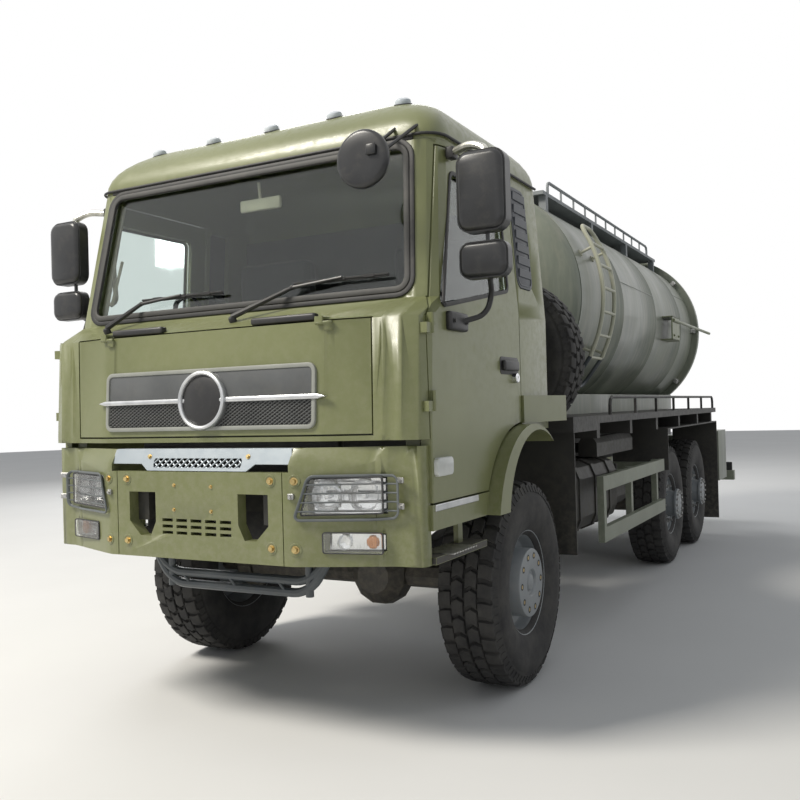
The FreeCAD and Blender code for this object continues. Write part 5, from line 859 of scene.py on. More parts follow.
# The bead's lighter grey is a painted highlight on black rubber.
painted_highlight_bead = grained("painted_highlight_bead", (0.028, 0.028, 0.027), (0.055, 0.054, 0.050), 0.6, 140, 0.25)
lip = bmesh.new()
flat_part(lip, [(-1.024, 0.004), (1.024, 0.004), (0.967, 0.782), (-0.967, 0.782)], 0.095, -0.002, 0.008,
          screen_face, band=0.024, edge=0.003)
piece("screen_lip", lip, seal_rubber)
bead = bmesh.new()
flat_part(bead, [(-1.001, 0.027), (1.001, 0.027), (0.944, 0.759), (-0.944, 0.759)], 0.075, -0.002, 0.014,
          screen_face, band=0.030, edge=0.006)
piece("screen_bead", bead, painted_highlight_bead)
gutter_height = 2.813
gutter_line = [(1.086, back(1.80), gutter_height), (1.086, back(0.464), gutter_height),
               (-1.086, back(0.464), gutter_height), (-1.086, back(1.80), gutter_height)]
gutter_strip = pipe("roof_gutter_strip", gutter_line, 0.0075, seal_rubber, bend=0.115)
print("gutter strip triangles:", triangles(gutter_strip))

# %% [markdown]
# ## The grille
# A pressed frame holds a smooth upper panel and a band of expanded mesh. A bright spear
# crosses them and carries a plain ring, whose middle is left bare. The mesh is many thin
# bars in two directions, which is what light shows of it from a few metres away.

# %% Crossing bars
def lattice(shape, spot, half_width, low, high, pitch, steepness, radius, height):
    """Crossing bars over a window, each cut short where it would leave the window's sides."""
    lean = (high - low) / steepness
    count = int((half_width + lean) / pitch) + 1
    for number in range(-count, count + 1):
        for slant in (1, -1):
            foot = number * pitch - slant * lean / 2
            ends = []
            for share in (0.0, 1.0):
                u = max(-half_width, min(half_width, foot + slant * lean * share))
                ends.append(Vector((u, low + (high - low) * (u - foot) / (slant * lean),
                                    height + radius * 0.7 * slant)))
            if abs(ends[0].x - ends[1].x) > pitch / 3:
                bar(shape, spot @ ends[0], spot @ ends[1], radius, 4)


print("a lattice is cut short at its window's sides")

# %% Grille
pale_trim = grained("pale_trim", (0.26, 0.27, 0.245), (0.34, 0.35, 0.32), 0.45)
brushed_grey = grained("brushed_grey", (0.085, 0.090, 0.092), (0.125, 0.130, 0.132), 0.32, 60, 0.1)
grille_frame = bmesh.new()
flat_part(grille_frame, box_corners(-0.640, 0.026, 0.640, 0.324), 0.040, 0.0003, 0.014, nose_face, band=0.020,
          edge=0.004)
frame_piece = piece("grille_frame", grille_frame, pale_trim, "front_flap")
# A black plate behind the mesh: painted shade for the dark space seen through its gaps.
grille_shade_backing = bmesh.new()
flat_part(grille_shade_backing, box_corners(-0.622, 0.044, 0.622, 0.306), 0.024, 0.0003, 0.0020, nose_face)
piece("grille_shade_backing", grille_shade_backing, black_plastic, "front_flap")
upper_panel = bmesh.new()
flat_part(upper_panel, box_corners(-0.618, 0.178, 0.618, 0.304), 0.018, 0.0010, 0.0085, nose_face, edge=0.003)
piece("grille_upper_panel", upper_panel, brushed_grey, "front_flap")
mesh_bars = bmesh.new()
lattice(mesh_bars, nose_face, 0.620, 0.046, 0.176, 0.027, 0.63, 0.0026, 0.006)
mesh_piece = piece("grille_mesh", mesh_bars, grille_grey, "front_flap")
print("grille mesh triangles:", triangles(mesh_piece))

# %% Spear and bare ring
spear = bmesh.new()
spear_line = [(-0.690, 0.170), (-0.640, 0.157), (0.655, 0.157), (0.706, 0.170), (0.655, 0.183),
              (-0.640, 0.183)]
flat_part(spear, spear_line, 0.0, 0.006, 0.024, nose_face, edge=0.009)
piece("grille_spear", spear, silver_strip, "front_flap")
ring_place = nose_face @ Vector((0, 0.170, 0))
ring_axis = nose_face.to_3x3() @ Vector((0, 0, 1))
ring = bmesh.new()
ring_line = [(0.004, 0.143), (0.026, 0.143), (0.034, 0.139), (0.037, 0.132), (0.034, 0.124), (0.026, 0.119),
             (0.004, 0.119)]
lathe(ring, ring_line + ring_line[:1], ring_place, ring_axis, 64)
piece("grille_ring", ring, silver_strip, "front_flap")
disc = bmesh.new()
disc_line = [(0.0004, 0.118), (0.020, 0.118), (0.025, 0.105), (0.026, 0.060), (0.028, 0.030), (0.028, 0.0)]
lathe(disc, disc_line, ring_place, ring_axis, 48)
piece("ring_middle", disc, black_plastic, "front_flap")
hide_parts("grille")

# %% [markdown]
# ## The bumper's step plate
# A bright plate is bolted into the bumper's top edge as a step. Its foot is wide in the
# middle alone, and a lattice grips the boot there. Two loops of eight corners are bridged
# into the plate with its window, and the lattice is crossing bars inside it.

# %% Step plate
step_metal = dusty_paint("step_metal", (0.36, 0.41, 0.45), (0.44, 0.49, 0.53), (0.40, 0.39, 0.35), 0.42, 0.8,
                         1.6, 0.4, metallic=0.25)
step_spot = sloped((0, back(0.006), 1.267), (0, 0.036, 0.104))
plate = bmesh.new()
outside = bmesh.ops.create_circle(plate, cap_ends=False, segments=8, radius=1.0)["verts"]
window = bmesh.ops.create_circle(plate, cap_ends=False, segments=8, radius=0.5)["verts"]
outline = [(0.300, 0.0), (0.345, 0.034), (0.546, 0.034), (0.533, 0.107), (-0.533, 0.107), (-0.546, 0.034),
           (-0.345, 0.034), (-0.300, 0.0)]
hole = [(0.262, 0.016), (0.268, 0.030), (0.268, 0.050), (0.262, 0.062), (-0.262, 0.062), (-0.268, 0.050),
        (-0.268, 0.030), (-0.262, 0.016)]
for ring_verts, spots in ((outside, outline), (window, hole)):
    for corner, (u, v) in zip(ring_verts, spots):
        corner.co = (u, v, 0)
bmesh.ops.bridge_loops(plate, edges=plate.edges[:])
raised = bmesh.ops.extrude_face_region(plate, geom=plate.faces[:])["geom"]
bmesh.ops.translate(plate, vec=(0, 0, 0.006), verts=of_kind(raised, bmesh.types.BMVert))
bmesh.ops.transform(plate, matrix=step_spot, verts=plate.verts)
lattice(plate, step_spot, 0.266, 0.015, 0.063, 0.0375, 0.86, 0.0034, 0.003)
brick(plate, (-0.533, back(0.043), 1.3665), (0.533, back(0.112), 1.3715), 0.0015)
step_piece = piece("bumper_step_plate", plate, step_metal)
step_bolts = bmesh.new()
for u in (-0.300, 0.300):
    bolt(step_bolts, step_spot @ Vector((u, 0.070, 0.006)), step_spot.to_3x3() @ Vector((0, 0, 1)), 0.016)
piece("step_plate_bolts", step_bolts, brass)
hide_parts("front_guards")

# %% [markdown]
# ## Guards of bent tube
# Each headlamp hides behind a loop of rod with four bars across it, and a pair of thick
# tubes protects the engine below the bumper. A Bezier line with a round bevel is the
# quickest way to a bent tube, and turning it into a mesh lets it be joined and exported.

# %% Headlamp guards
guard_loop = [(0.633, back(-0.014), 1.249), (0.950, back(-0.014), 1.249), (1.040, back(0.052), 1.247),
              (1.040, back(0.052), 1.064), (0.950, back(-0.014), 1.056), (0.563, back(-0.014), 1.056)]
guard_steel = dusty_paint("guard_steel", (0.085, 0.10, 0.105), (0.13, 0.145, 0.15), (0.24, 0.23, 0.19), 0.4,
                          0.6, 1.6, 0.4)
guard_rods = pipe_pair("lamp_guard_loop", guard_loop, 0.0065, guard_steel, bend=0.030, closed=True)
for number, (height, start) in enumerate(((1.095, 0.577), (1.134, 0.592), (1.173, 0.607), (1.212, 0.621))):
    rod_line = [(start, back(-0.014), height), (0.950, back(-0.014), height), (1.038, back(0.050), height)]
    guard_rods += pipe_pair(f"lamp_guard_rod_{number}", rod_line, 0.0042, guard_steel, bend=0.03, sides=2)


def guard_tabs(shape):
    for x, y, height in ((1.052, 0.062, 1.228), (1.052, 0.062, 1.116), (0.549, -0.001, 1.160)):
        brick(shape, (x - 0.014, back(y - 0.010), height - 0.013),
              (x + 0.014, back(y + 0.006), height + 0.013), 0.002)
        bolt(shape, (x, back(y - 0.010), height), (0, -1, 0), 0.014)


guard_rods += pair("lamp_guard_tabs", guard_tabs, worn_steel)

# %% Guard under the bumper
tube_paint = dusty_paint("tube_paint", (0.060, 0.072, 0.082), (0.090, 0.102, 0.112), (0.22, 0.21, 0.18), 0.4,
                         0.2, 1.2, 0.35)
for word, height in (("low", 0.664), ("high", 0.722)):
    guard_line = [(-0.545, back(0.300), 0.838), (-0.430, back(0.300), height),
                  (0.430, back(0.300), height), (0.545, back(0.300), 0.838)]
    pipe(f"engine_guard_{word}", guard_line, 0.0225, tube_paint, bend=0.09)


def guard_feet(shape):
    bar(shape, (0.430, back(0.300), 0.650), (0.430, back(0.300), 0.985), 0.020, 16)
    brick(shape, (0.495, back(0.255), 0.828), (0.585, back(0.345), 0.849), 0.004)
    bolt(shape, (0.512, back(0.268), 0.8285), (0, 0, -1), 0.016)


pair("engine_guard_feet", guard_feet, tube_paint)
struts = bmesh.new()
for x in (-0.300, 0.0, 0.300):
    bar(struts, (x - 0.060, back(0.290), 0.728), (x + 0.010, back(0.290), 0.655), 0.008, 8)
piece("engine_guard_struts", struts, tube_paint)

# %% [markdown]
# ## Lamps
# A headlamp is a clear ribbed cover over two bright bowls. Its cover has a slanted inner
# side, as the guard has. The lamp below it is long and low, with an amber bulb at its outer
# end. Each roof lamp is a dome that is still wrapped in clouded film.

# %% Headlamps and lower lamps
bowl_metal = bright_metal("bowl_metal", (0.70, 0.71, 0.72), (0.82, 0.83, 0.84), 0.10, 12, 0.05)
wrapped_film = grained("wrapped_film", (0.50, 0.56, 0.62), (0.72, 0.76, 0.80), 0.28, 26, 0.9,
                       (0.40, 0.42, 0.44), 0.35)


def lamp_cases(shape):
    brick(shape, (0.6235, back(0.060), 1.0815), (0.9905, back(0.126), 1.2385), 0.004)
    brick(shape, (0.7035, back(0.048), 0.9185), (0.9835, back(0.126), 0.9925), 0.004)
    flat_part(shape, [(0.583, 1.073), (0.994, 1.080), (0.994, 1.246), (0.632, 1.241)], 0.014, 0.0003, 0.0060,
              upright(0), band=0.008, edge=0.002)
    flat_part(shape, [(0.690, 0.908), (0.989, 0.904), (0.989, 1.001), (0.690, 1.003)], 0.014, 0.0003, 0.0070,
              upright(0), band=0.006, edge=0.002)


def lamp_bowls(shape):
    for x in (0.713, 0.893):
        bowl = [(0.000, 0.071), (-0.012, 0.069), (-0.030, 0.060), (-0.044, 0.044), (-0.052, 0.020),
                (-0.053, 0.0)]
        lathe(shape, bowl, (x, back(0.004), 1.160), (0, -1, 0), 32)
        lathe(shape, [(-0.050, 0.013), (-0.020, 0.013), (-0.010, 0.009), (-0.008, 0.0)],
              (x, back(0.004), 1.160), (0, -1, 0), 16)
    brick(shape, (0.628, back(0.0575), 1.0865), (0.985, back(0.0598), 1.2335))
    brick(shape, (0.710, back(0.0455), 0.9240), (0.978, back(0.0478), 0.9870))
    lathe(shape, [(0.0, 0.033), (-0.018, 0.028), (-0.030, 0.012), (-0.031, 0.0)], (0.790, back(0.012), 0.955),
          (0, -1, 0), 24)


def lamp_covers(shape):
    flat_part(shape, [(0.590, 1.079), (0.988, 1.085), (0.988, 1.240), (0.636, 1.235)], 0.012, 0.0012, 0.0100,
              upright(0), edge=0.004)
    flat_part(shape, [(0.695, 0.912), (0.984, 0.908), (0.984, 0.997), (0.695, 0.999)], 0.012, 0.0012, 0.0110,
              upright(0), edge=0.004)


def amber_bulbs(shape):
    lathe(shape, [(0.0, 0.030), (0.016, 0.028), (0.026, 0.020), (0.030, 0.0)], (0.925, back(0.034), 0.955),
          (0, -1, 0), 24)


cases = pair("lamp_case", lamp_cases, dark_trim)
bowls = pair("lamp_bowls", lamp_bowls, bowl_metal)
covers = pair("lamp_cover", lamp_covers, clear_lens)
bulbs = pair("amber_bulb", amber_bulbs, amber_lens)

# %% Roof and tail lamps
def surface(node, start, heading):
    """Where a ray meets a CAD solid, and the way its face points."""
    data = cad_nodes[node].data
    tree = BVHTree.FromPolygons([v.co for v in data.vertices], [p.vertices for p in data.polygons])
    place, normal, _, _ = tree.ray_cast(Vector(start), Vector(heading).normalized())
    return place, normal


roof_domes, roof_feet = bmesh.new(), bmesh.new()
for number in range(5):
    spot, normal = surface("cab_roof", (0.400 * (number - 2), back(0.690), 3.4), (0, 0, -1))
    lathe(roof_feet, [(-0.006, 0.047), (0.006, 0.047), (0.009, 0.043), (0.009, 0.0)], spot, normal, 24)
    lathe(roof_domes, [(0.008, 0.040), (0.020, 0.041), (0.030, 0.036), (0.037, 0.022), (0.039, 0.0)], spot,
          normal, 24)
piece("roof_lamp_feet", roof_feet, dark_trim)
roof_piece = piece("roof_lamp_domes", roof_domes, wrapped_film)
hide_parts("lamps")


def tail_lens(low, high):
    def build(shape):
        brick(shape, (low, back(8.945), 0.640), (high, back(8.980), 0.730), 0.008, 2)
    return build


pair("tail_case", lambda shape: brick(shape, (0.852, back(8.912), 0.632), (1.178, back(8.950), 0.738), 0.006),
     black_plastic)
pair("tail_stop", tail_lens(0.858, 0.975), red_lens)
pair("tail_turn", tail_lens(0.978, 1.070), amber_lens)
pair("tail_reverse", tail_lens(1.073, 1.172), clear_lens)
print("lamps on the roof:", 5)

# %% [markdown]
# ## Mirrors
# Each door carries two moulded cases on a grey rod. A plate with rounded corners and an
# eased rim gives the soft case, and the mirror itself lies in its rear face. The upper arm
# was wrapped in foil for the journey from the factory, and it still is.

# %% Mirror cases
foil_wrap = bright_metal("foil_wrap", (0.42, 0.42, 0.38), (0.70, 0.69, 0.62), 0.30, 22, 0.9)
rod_grey = grained("rod_grey", (0.10, 0.105, 0.11), (0.15, 0.155, 0.16), 0.4)
shell_black = grained("shell_black", (0.014, 0.0145, 0.016), (0.026, 0.027, 0.029), 0.30, 200, 0.12)


def mirror_cases(shape):
    flat_part(shape, box_corners(1.192, 2.312, 1.428, 2.678), 0.060, 0.0, 0.062, upright(0.4922), edge=0.0)
    flat_part(shape, box_corners(1.198, 2.318, 1.422, 2.672), 0.055, 0.058, 0.0835, upright(0.4922),
              edge=0.022)
    flat_part(shape, box_corners(1.192, 2.107, 1.428, 2.273), 0.050, 0.0, 0.050, upright(0.4922), edge=0.0)
    flat_part(shape, box_corners(1.198, 2.112, 1.422, 2.268), 0.045, 0.046, 0.0720, upright(0.4922),
              edge=0.020)


def mirror_panes(shape):
    flat_part(shape, box_corners(1.204, 2.324, 1.416, 2.666), 0.048, -0.0012, 0.001, upright(0.4922))
    flat_part(shape, box_corners(1.204, 2.119, 1.416, 2.261), 0.038, -0.0012, 0.001, upright(0.4922))


def mirror_brackets(shape):
    brick(shape, (1.118, back(0.415), 1.885), (1.158, back(0.612), 1.972), 0.014, 3)
    brick(shape, (1.085, back(0.548), 2.700), (1.128, back(0.612), 2.758), 0.010, 2)
    for y in (0.445, 0.580):
        bolt(shape, (1.158, back(y), 1.928), (1, 0, 0), 0.018)
    for height in (2.640, 2.236):
        brick(shape, (1.288, back(0.486), height - 0.020), (1.332, back(0.506), height + 0.020), 0.006)


case_pieces = pair("mirror_case", mirror_cases, shell_black, "door_left", "door_right", 50)
pair("mirror_pane", mirror_panes, mirror_glass, "door_left", "door_right")
pair("mirror_bracket", mirror_brackets, black_plastic, "door_left", "door_right")
pipe_pair("mirror_rod", [(1.310, back(0.500), 2.130), (1.310, back(0.500), 2.655)], 0.0105, rod_grey,
          "door_left", "door_right")
low_arm = [(1.140, back(0.560), 1.930), (1.235, back(0.640), 1.965), (1.262, back(0.650), 2.060),
           (1.310, back(0.505), 2.150), (1.310, back(0.500), 2.210)]
high_arm = [(1.100, back(0.580), 2.728), (1.230, back(0.530), 2.742), (1.310, back(0.502), 2.700),
            (1.310, back(0.500), 2.640)]
pipe_pair("mirror_low_arm", low_arm, 0.0135, black_plastic, "door_left", "door_right", bend=0.05)
pipe_pair("mirror_high_arm", high_arm, 0.0190, foil_wrap, "door_left", "door_right", bend=0.05)
for case, side in zip(case_pieces, ("left", "right")):
    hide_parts(f"mirror_{side}")

# %% [markdown]
# ## Wipers, cowl bars and the round mirror
# The wiper arms fold at a joint close to their pivots and press long blades to the glass.
# Black moulded bars lie along the foot of the screen. The round mirror is a domed shell,
# spun about its axis, on two rods from the roof.

# %% Wipers and cowl bars
def wiper(name, pivot, elbow, tip, blade_from, blade_to):
    arm = bmesh.new()
    spot = Vector((pivot, back(0.196), 1.992))
    lathe(arm, [(-0.030, 0.019), (0.004, 0.019), (0.012, 0.015), (0.014, 0.0)], spot, (0, -0.55, 0.83), 20)
    fold = Vector((elbow, back(0.318), 2.134))
    bar(arm, spot + Vector((0, -0.004, 0.010)), fold, 0.0150, 8, 0.0105)
    bar(arm, fold, (tip, back(0.327), 2.160), 0.0100, 8, 0.0070)
    bmesh.ops.create_icosphere(arm, subdivisions=2, radius=0.013, matrix=Matrix.Translation(fold))
    base = piece(name + "_arm", arm, black_plastic)
    blade = bmesh.new()
    brick(blade, (blade_from, back(0.3285), 2.150), (blade_to, back(0.3365), 2.160), 0.002)
    brick(blade, (blade_from, back(0.334), 2.142), (blade_to, back(0.341), 2.151), 0.0015)
    for share in (0.2, 0.5, 0.8):
        x = blade_from + share * (blade_to - blade_from)
        brick(blade, (x - 0.030, back(0.3265), 2.146), (x + 0.030, back(0.3375), 2.163), 0.002)
    piece(name + "_blade", blade, seal_rubber)
    return base


wiper_left = wiper("wiper_left", 0.090, 0.360, 0.640, 0.360, 0.889)
wiper("wiper_right", -0.750, -0.620, -0.350, -0.627, -0.076)
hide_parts("cab_fittings")
cowl = bmesh.new()
for low, high in ((-0.630, -0.290), (0.260, 0.620)):
    brick(cowl, (low, back(0.112), 1.9425), (high, back(0.158), 1.9780), 0.012, 3)
piece("cowl_bars", cowl, black_plastic)

# %% Round mirror
dome = bmesh.new()
centre = (0.873, back(0.165), 2.636)
dome_line = [(0.002, 0.118), (0.0, 0.128), (0.006, 0.130), (0.022, 0.1295), (0.030, 0.124), (0.034, 0.110),
             (0.0365, 0.060), (0.0375, 0.0)]
lathe(dome, dome_line, centre, (0, -1, 0), 48)
brick(dome, (0.905, back(0.128), 2.640), (0.955, back(0.112), 2.690), 0.008, 2)
piece("round_mirror_shell", dome, shell_black, sharp=60)
pane = bmesh.new()
lathe(pane, [(0.004, 0.120), (0.001, 0.119), (-0.003, 0.080), (-0.005, 0.0)], centre, (0, -1, 0), 40)
piece("round_mirror_pane", pane, mirror_glass)
round_arm = [(0.873, back(0.160), 2.636), (0.873, back(0.235), 2.656), (0.983, back(0.500), 2.872),
             (0.983, back(0.600), 2.856)]
pipe("round_mirror_arm_low", round_arm, 0.0085, black_plastic, bend=0.04)
pipe("round_mirror_arm_high", [(0.873, back(0.160), 2.660), (0.853, back(0.600), 2.930)], 0.0085,
     black_plastic)

# %% [markdown]
# ## Slatted side panels
# Behind each door a dark panel with seven slats lets air through. Its plate has a rounded
# outline, and each slat is a small tilted block.

# %% Slatted panels
slate_blue = grained("slate_blue", (0.040, 0.046, 0.055), (0.065, 0.072, 0.084), 0.45, 120, 0.2)


def slatted_panel(shape):
    flat_part(shape, box_corners(back(1.372), 0.150, back(1.612), 0.718), 0.055, -0.014, 0.004, cab_side,
              edge=0.002)
    flat_part(shape, box_corners(back(1.386), 0.164, back(1.598), 0.704), 0.045, 0.003, 0.007, cab_side,
              band=0.007)
    for number in range(7):
        v = 0.212 + number * 0.072
        slat = brick(shape, (back(1.400), v, 0.0), (back(1.584), v + 0.046, 0.011), 0.003)
        bmesh.ops.rotate(shape, cent=(0, v, 0), matrix=Matrix.Rotation(0.10, 3, "X"), verts=slat)
        bmesh.ops.transform(shape, matrix=cab_side, verts=slat)


pair("slatted_panel", slatted_panel, slate_blue)
print("slats:", 14)

# %% [markdown]
# ## Doors
# The window sits in a thick rubber seal. The handle is a black paddle in a recess with a
# lock below it, and a clear turn lamp stands out near the hinge edge.

# %% Window seals, handles and locks
window_outline = [(back(0.366), 1.980), (back(1.222), 2.136), (back(1.222), 2.656), (back(0.586), 2.656)]
window_flat = [(u, (v - screen_foot) / 0.9975) for u, v in window_outline]


def window_seal(shape):
    flat_part(shape, window_flat, 0.040, -0.002, 0.007, cab_side, band=0.020, edge=0.003)


def door_handle(shape):
    flat_part(shape, box_corners(back(1.055), 1.700, back(1.318), 1.792), 0.022, 0.0002, 0.0025,
              beside(cab_side_x, 0), edge=0.001)
    brick(shape, (1.131, back(1.074), 1.719), (1.1565, back(1.276), 1.773), 0.010, 3)


def door_lock(shape):
    lock_line = [(0.0, 0.0265), (0.022, 0.0265), (0.0265, 0.022), (0.0265, 0.010), (0.0235, 0.008),
                 (0.0235, 0.0)]
    lathe(shape, lock_line, (1.131, back(1.247), 1.682), (1, 0, 0), 24)


cover_glass = grained("cover_glass", (0.58, 0.60, 0.58), (0.68, 0.70, 0.68), 0.18, 40, 0.3)


def turn_cover(shape):
    flat_part(shape, box_corners(back(0.251), 1.234, back(0.413), 1.316), 0.022, 0.0, 0.0225,
              beside(1.1302, 0), edge=0.006)


pair("window_seal", window_seal, seal_rubber, "door_left", "door_right")
pair("door_paddle", door_handle, black_plastic, "door_left", "door_right", 50)
pair("door_lock", door_lock, chrome, "door_left", "door_right")
pair("turn_cover", turn_cover, cover_glass, "door_left", "door_right", 50)

# %% [markdown]
# ## Inside the cab
# Through the big windscreen a viewer sees the backs of things: the wheel, the dashboard's
# hood, the seats' padded backs, and a dark wall behind them. The wheel is a spun ring with
# spokes on a tilted column. Each cushion starts as a block with eased edges, and three
# sewn channels are pressed into it.

# %% Steering wheel and dashboard
wheel_axis = Vector((0, 0.5736, 0.8192))
wheel_place = Vector((-0.580, back(0.850), 2.080))
steering = bmesh.new()
grip = [(0.0145 * math.sin(a * math.pi / 5), 0.225 + 0.0145 * math.cos(a * math.pi / 5)) for a in range(10)]
lathe(steering, grip + grip[:1], wheel_place, wheel_axis, 48)
lathe(steering, [(-0.040, 0.0), (-0.040, 0.055), (0.010, 0.070), (0.022, 0.062), (0.026, 0.0)], wheel_place,
      wheel_axis, 24)
spoke_turn = wheel_axis.to_track_quat("Z", "Y").to_matrix()
for angle in (0.5, 1.6, 3.1, 4.9):
    reach = spoke_turn @ Vector((math.cos(angle), math.sin(angle), 0))
    bar(steering, wheel_place + reach * 0.050, wheel_place + reach * 0.220, 0.013, 8, 0.010)
bar(steering, wheel_place - wheel_axis * 0.400, wheel_place - wheel_axis * 0.030, 0.030, 16)
wheel_piece = piece("steering_wheel", steering, dark_trim, sharp=50)
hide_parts("dashboard")
board = bmesh.new()
board_face = Matrix(((0, 0, 1, 0), (1, 0, 0, 0), (0, 1, 0, 0), (0, 0, 0, 1)))
board_line = [(back(0.402), 1.452), (back(0.558), 1.452), (back(0.636), 1.800), (back(0.636), 1.940),
              (back(0.600), 1.985), (back(0.520), 2.006), (back(0.402), 2.006)]
flat_part(board, board_line, 0.018, -1.045, 1.045, board_face, steps=3)
brick(board, (-0.800, back(0.440), 2.000), (-0.360, back(0.660), 2.070), 0.030, 3)
brick(board, (0.250, back(0.632), 1.700), (0.850, back(0.650), 1.900), 0.012, 2)
piece("dash_hood", board, dark_trim)

# %% Seats
def cushion(name, low, high, channels):
    """A padded block whose sewn channels are pressed in along its width."""
    shape = bmesh.new()
    brick(shape, low, high, 0.045, 4)
    bmesh.ops.subdivide_edges(shape, edges=shape.edges[:], cuts=6, use_grid_fill=True)
    middle = (Vector(low) + Vector(high)) / 2
    half = (Vector(high) - Vector(low)) / 2
    flat_axis = 2 if half.z < half.y else 1
    long_axis = 3 - flat_axis
    for corner in shape.verts:
        share = (corner.co - middle)
        across, along = share.x / half.x, share[long_axis] / half[long_axis]
        crown = (1 - across ** 4) * (1 - along ** 4)
        groove = max(math.exp(-((along - channel) / 0.045) ** 2) for channel in channels)
        thickness = (0.78 + 0.22 * crown) * (1 - 0.16 * groove)
        corner.co[flat_axis] = middle[flat_axis] + share[flat_axis] * thickness
    made = piece(name, shape, seat_cloth, sharp=80)
    return made


for side, low, high in (("left", 0.305, 0.855), ("right", -0.855, -0.305)):
    seat = cushion(f"seat_pad_{side}", (low, back(0.985), 1.760), (high, back(1.460), 1.905), (-0.35, 0.35))
    rest = cushion(f"seat_back_{side}", (low, back(1.440), 1.900), (high, back(1.580), 2.505),
                   (-0.5, 0.0, 0.5))
    if side == "left":
        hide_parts("seats")
    bases = bmesh.new()
    brick(bases, (low + 0.03, back(1.050), 1.452), (high - 0.03, back(1.490), 1.770), 0.020, 2)
    piece(f"seat_base_{side}", bases, dark_trim)

# %% Cab trim
lining = bmesh.new()
brick(lining, (-1.050, back(1.780), 1.460), (1.050, back(1.792), 2.720), 0.002)
piece("rear_lining", lining, dark_trim)
pillar_trim = bmesh.new()
for sign in (1, -1):
    bar(pillar_trim, (sign * 1.010, back(0.420), 2.080), (sign * 0.965, back(0.545), 2.740), 0.022, 10)
    bar(pillar_trim, (sign * 0.975, back(0.455), 2.160), (sign * 0.950, back(0.520), 2.420), 0.009, 8)
piece("pillar_trim", pillar_trim, cream_plastic)
inside_mirror = bmesh.new()
brick(inside_mirror, (-0.130, back(0.560), 2.600), (0.130, back(0.585), 2.665), 0.010, 2)
bar(inside_mirror, (0, back(0.570), 2.660), (0, back(0.560), 2.745), 0.008, 8)
piece("inside_mirror", inside_mirror, cream_plastic)

# %% [markdown]
# ## A smooth roof
# The roof is pressed in one soft shape: flat on top, rounded at its sides, and drawn far
# back over the windscreen. It starts as one level ring with rounded corners. Each extrusion
# of the ring's edges is moved to the next, smaller ring, and the last one is filled.

# %% Roof rings
roof_rise = 0.297
roof_half_width, roof_half_depth = 1.075, 0.690


def roof_spot(share, turn):
    """A point of the roof: share goes from the gutter to the crown, turn goes round it."""
    inward = 1 - math.cos(math.pi / 2 * share)
    height = gutter_height + roof_rise * math.sin(math.pi / 2 * share)
    half = roof_half_width - 0.430 * inward
    front, rear = back(0.473) + 0.520 * inward, back(1.850) - 0.260 * inward
    heading = Vector((math.cos(turn), math.sin(turn)))
    if heading.y < 0:
        corner = 0.110 + 0.160 * inward
    else:
        corner = 0.060 + 0.160 * inward
    middle_y = (front + rear) / 2
    reach_x, reach_y = half - corner, (rear - front) / 2 - corner
    # The ray from the middle meets a straight side or a rounded corner.
    wide, deep = abs(heading.x), abs(heading.y)
    far = min(half / max(wide, 1e-6), (rear - front) / 2 / max(deep, 1e-6))
    x, y = wide * far, deep * far
    if x > reach_x and y > reach_y:
        b = wide * reach_x + deep * reach_y
        far = b + math.sqrt(max(b * b - (reach_x ** 2 + reach_y ** 2 - corner ** 2), 0))
        x, y = wide * far, deep * far
    return Vector((math.copysign(x, heading.x), middle_y + math.copysign(y, heading.y), height))


def ring_turns(count):
    """Headings whose steps are short where the corners are."""
    corner = math.atan2(roof_half_depth, roof_half_width)
    stops = [corner, math.pi - corner, math.pi + corner, 2 * math.pi - corner]
    turns = []
    for stop, following in zip(stops, stops[1:] + [stops[0] + 2 * math.pi]):
        for step in range(count):
            share = (step + 0.5) / count
            eased = share - math.sin(2 * math.pi * share) / (2 * math.pi) * 0.75
            turns.append(stop + (following - stop) * eased)
    return turns


# %% Roof shell
roof = bmesh.new()
turns = ring_turns(22)
ring = bmesh.ops.create_circle(roof, cap_ends=False, segments=len(turns), radius=1.0)["verts"]
for corner, turn in zip(ring, turns):
    corner.co = roof_spot(0, turn)
edges = roof.edges[:]
roof_steps = 12
ordered = list(ring)
for step in range(1, roof_steps + 1):
    moved = bmesh.ops.extrude_edge_only(roof, edges=edges)["geom"]
    edges = of_kind(moved, bmesh.types.BMEdge)
    fresh = set(of_kind(moved, bmesh.types.BMVert))
    following = [next(e.other_vert(old) for e in old.link_edges if e.other_vert(old) in fresh)
                 for old in ordered]
    for corner, turn in zip(following, turns):
        corner.co = roof_spot(step / roof_steps, turn)
    ordered = following
bmesh.ops.contextual_create(roof, geom=[e for e in edges if e.is_valid])
low_ring = bmesh.ops.extrude_edge_only(roof, edges=[e for e in roof.edges if e.is_boundary])["geom"]
bmesh.ops.translate(roof, vec=(0, 0, -0.022), verts=of_kind(low_ring, bmesh.types.BMVert))
roof_shell = piece("smooth_roof", roof, cab_green, sharp=60)
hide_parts("cab_roof")
gutter = bmesh.new()
brick(gutter, (-0.960, back(0.4655), 2.790), (0.960, back(0.4760), 2.818), 0.004, 2)
piece("gutter_band", gutter, seal_rubber)
print("roof triangles:", triangles(roof_shell))

# %% [markdown]
# ## A smooth tank
# The barrel is welded from rolled plates: weld seams run round it and along it, and a
# reinforcing ring carries the rear door. It is one spun section with many steps. The
# manhole, its clamps and the door's hinges are added to it as separate small parts.

# %% Tank barrel
tank_height = 2.379
tank_radius = 0.8965
tank_inner_radius = 0.885
tank_front = 3.340
weld_height = 0.9005
weld_places = (3.344, 4.620, 5.930, 7.240)
tank_middle = Vector((0, 0, tank_height))


def dished(start, radius, depth, heading, steps=14):
    """The line of a dished end, from its rim to its middle."""
    return [(start + heading * depth * math.sin(math.pi / 2 * s / steps),
             radius * math.cos(math.pi / 2 * s / steps))
            for s in range(steps + 1)]


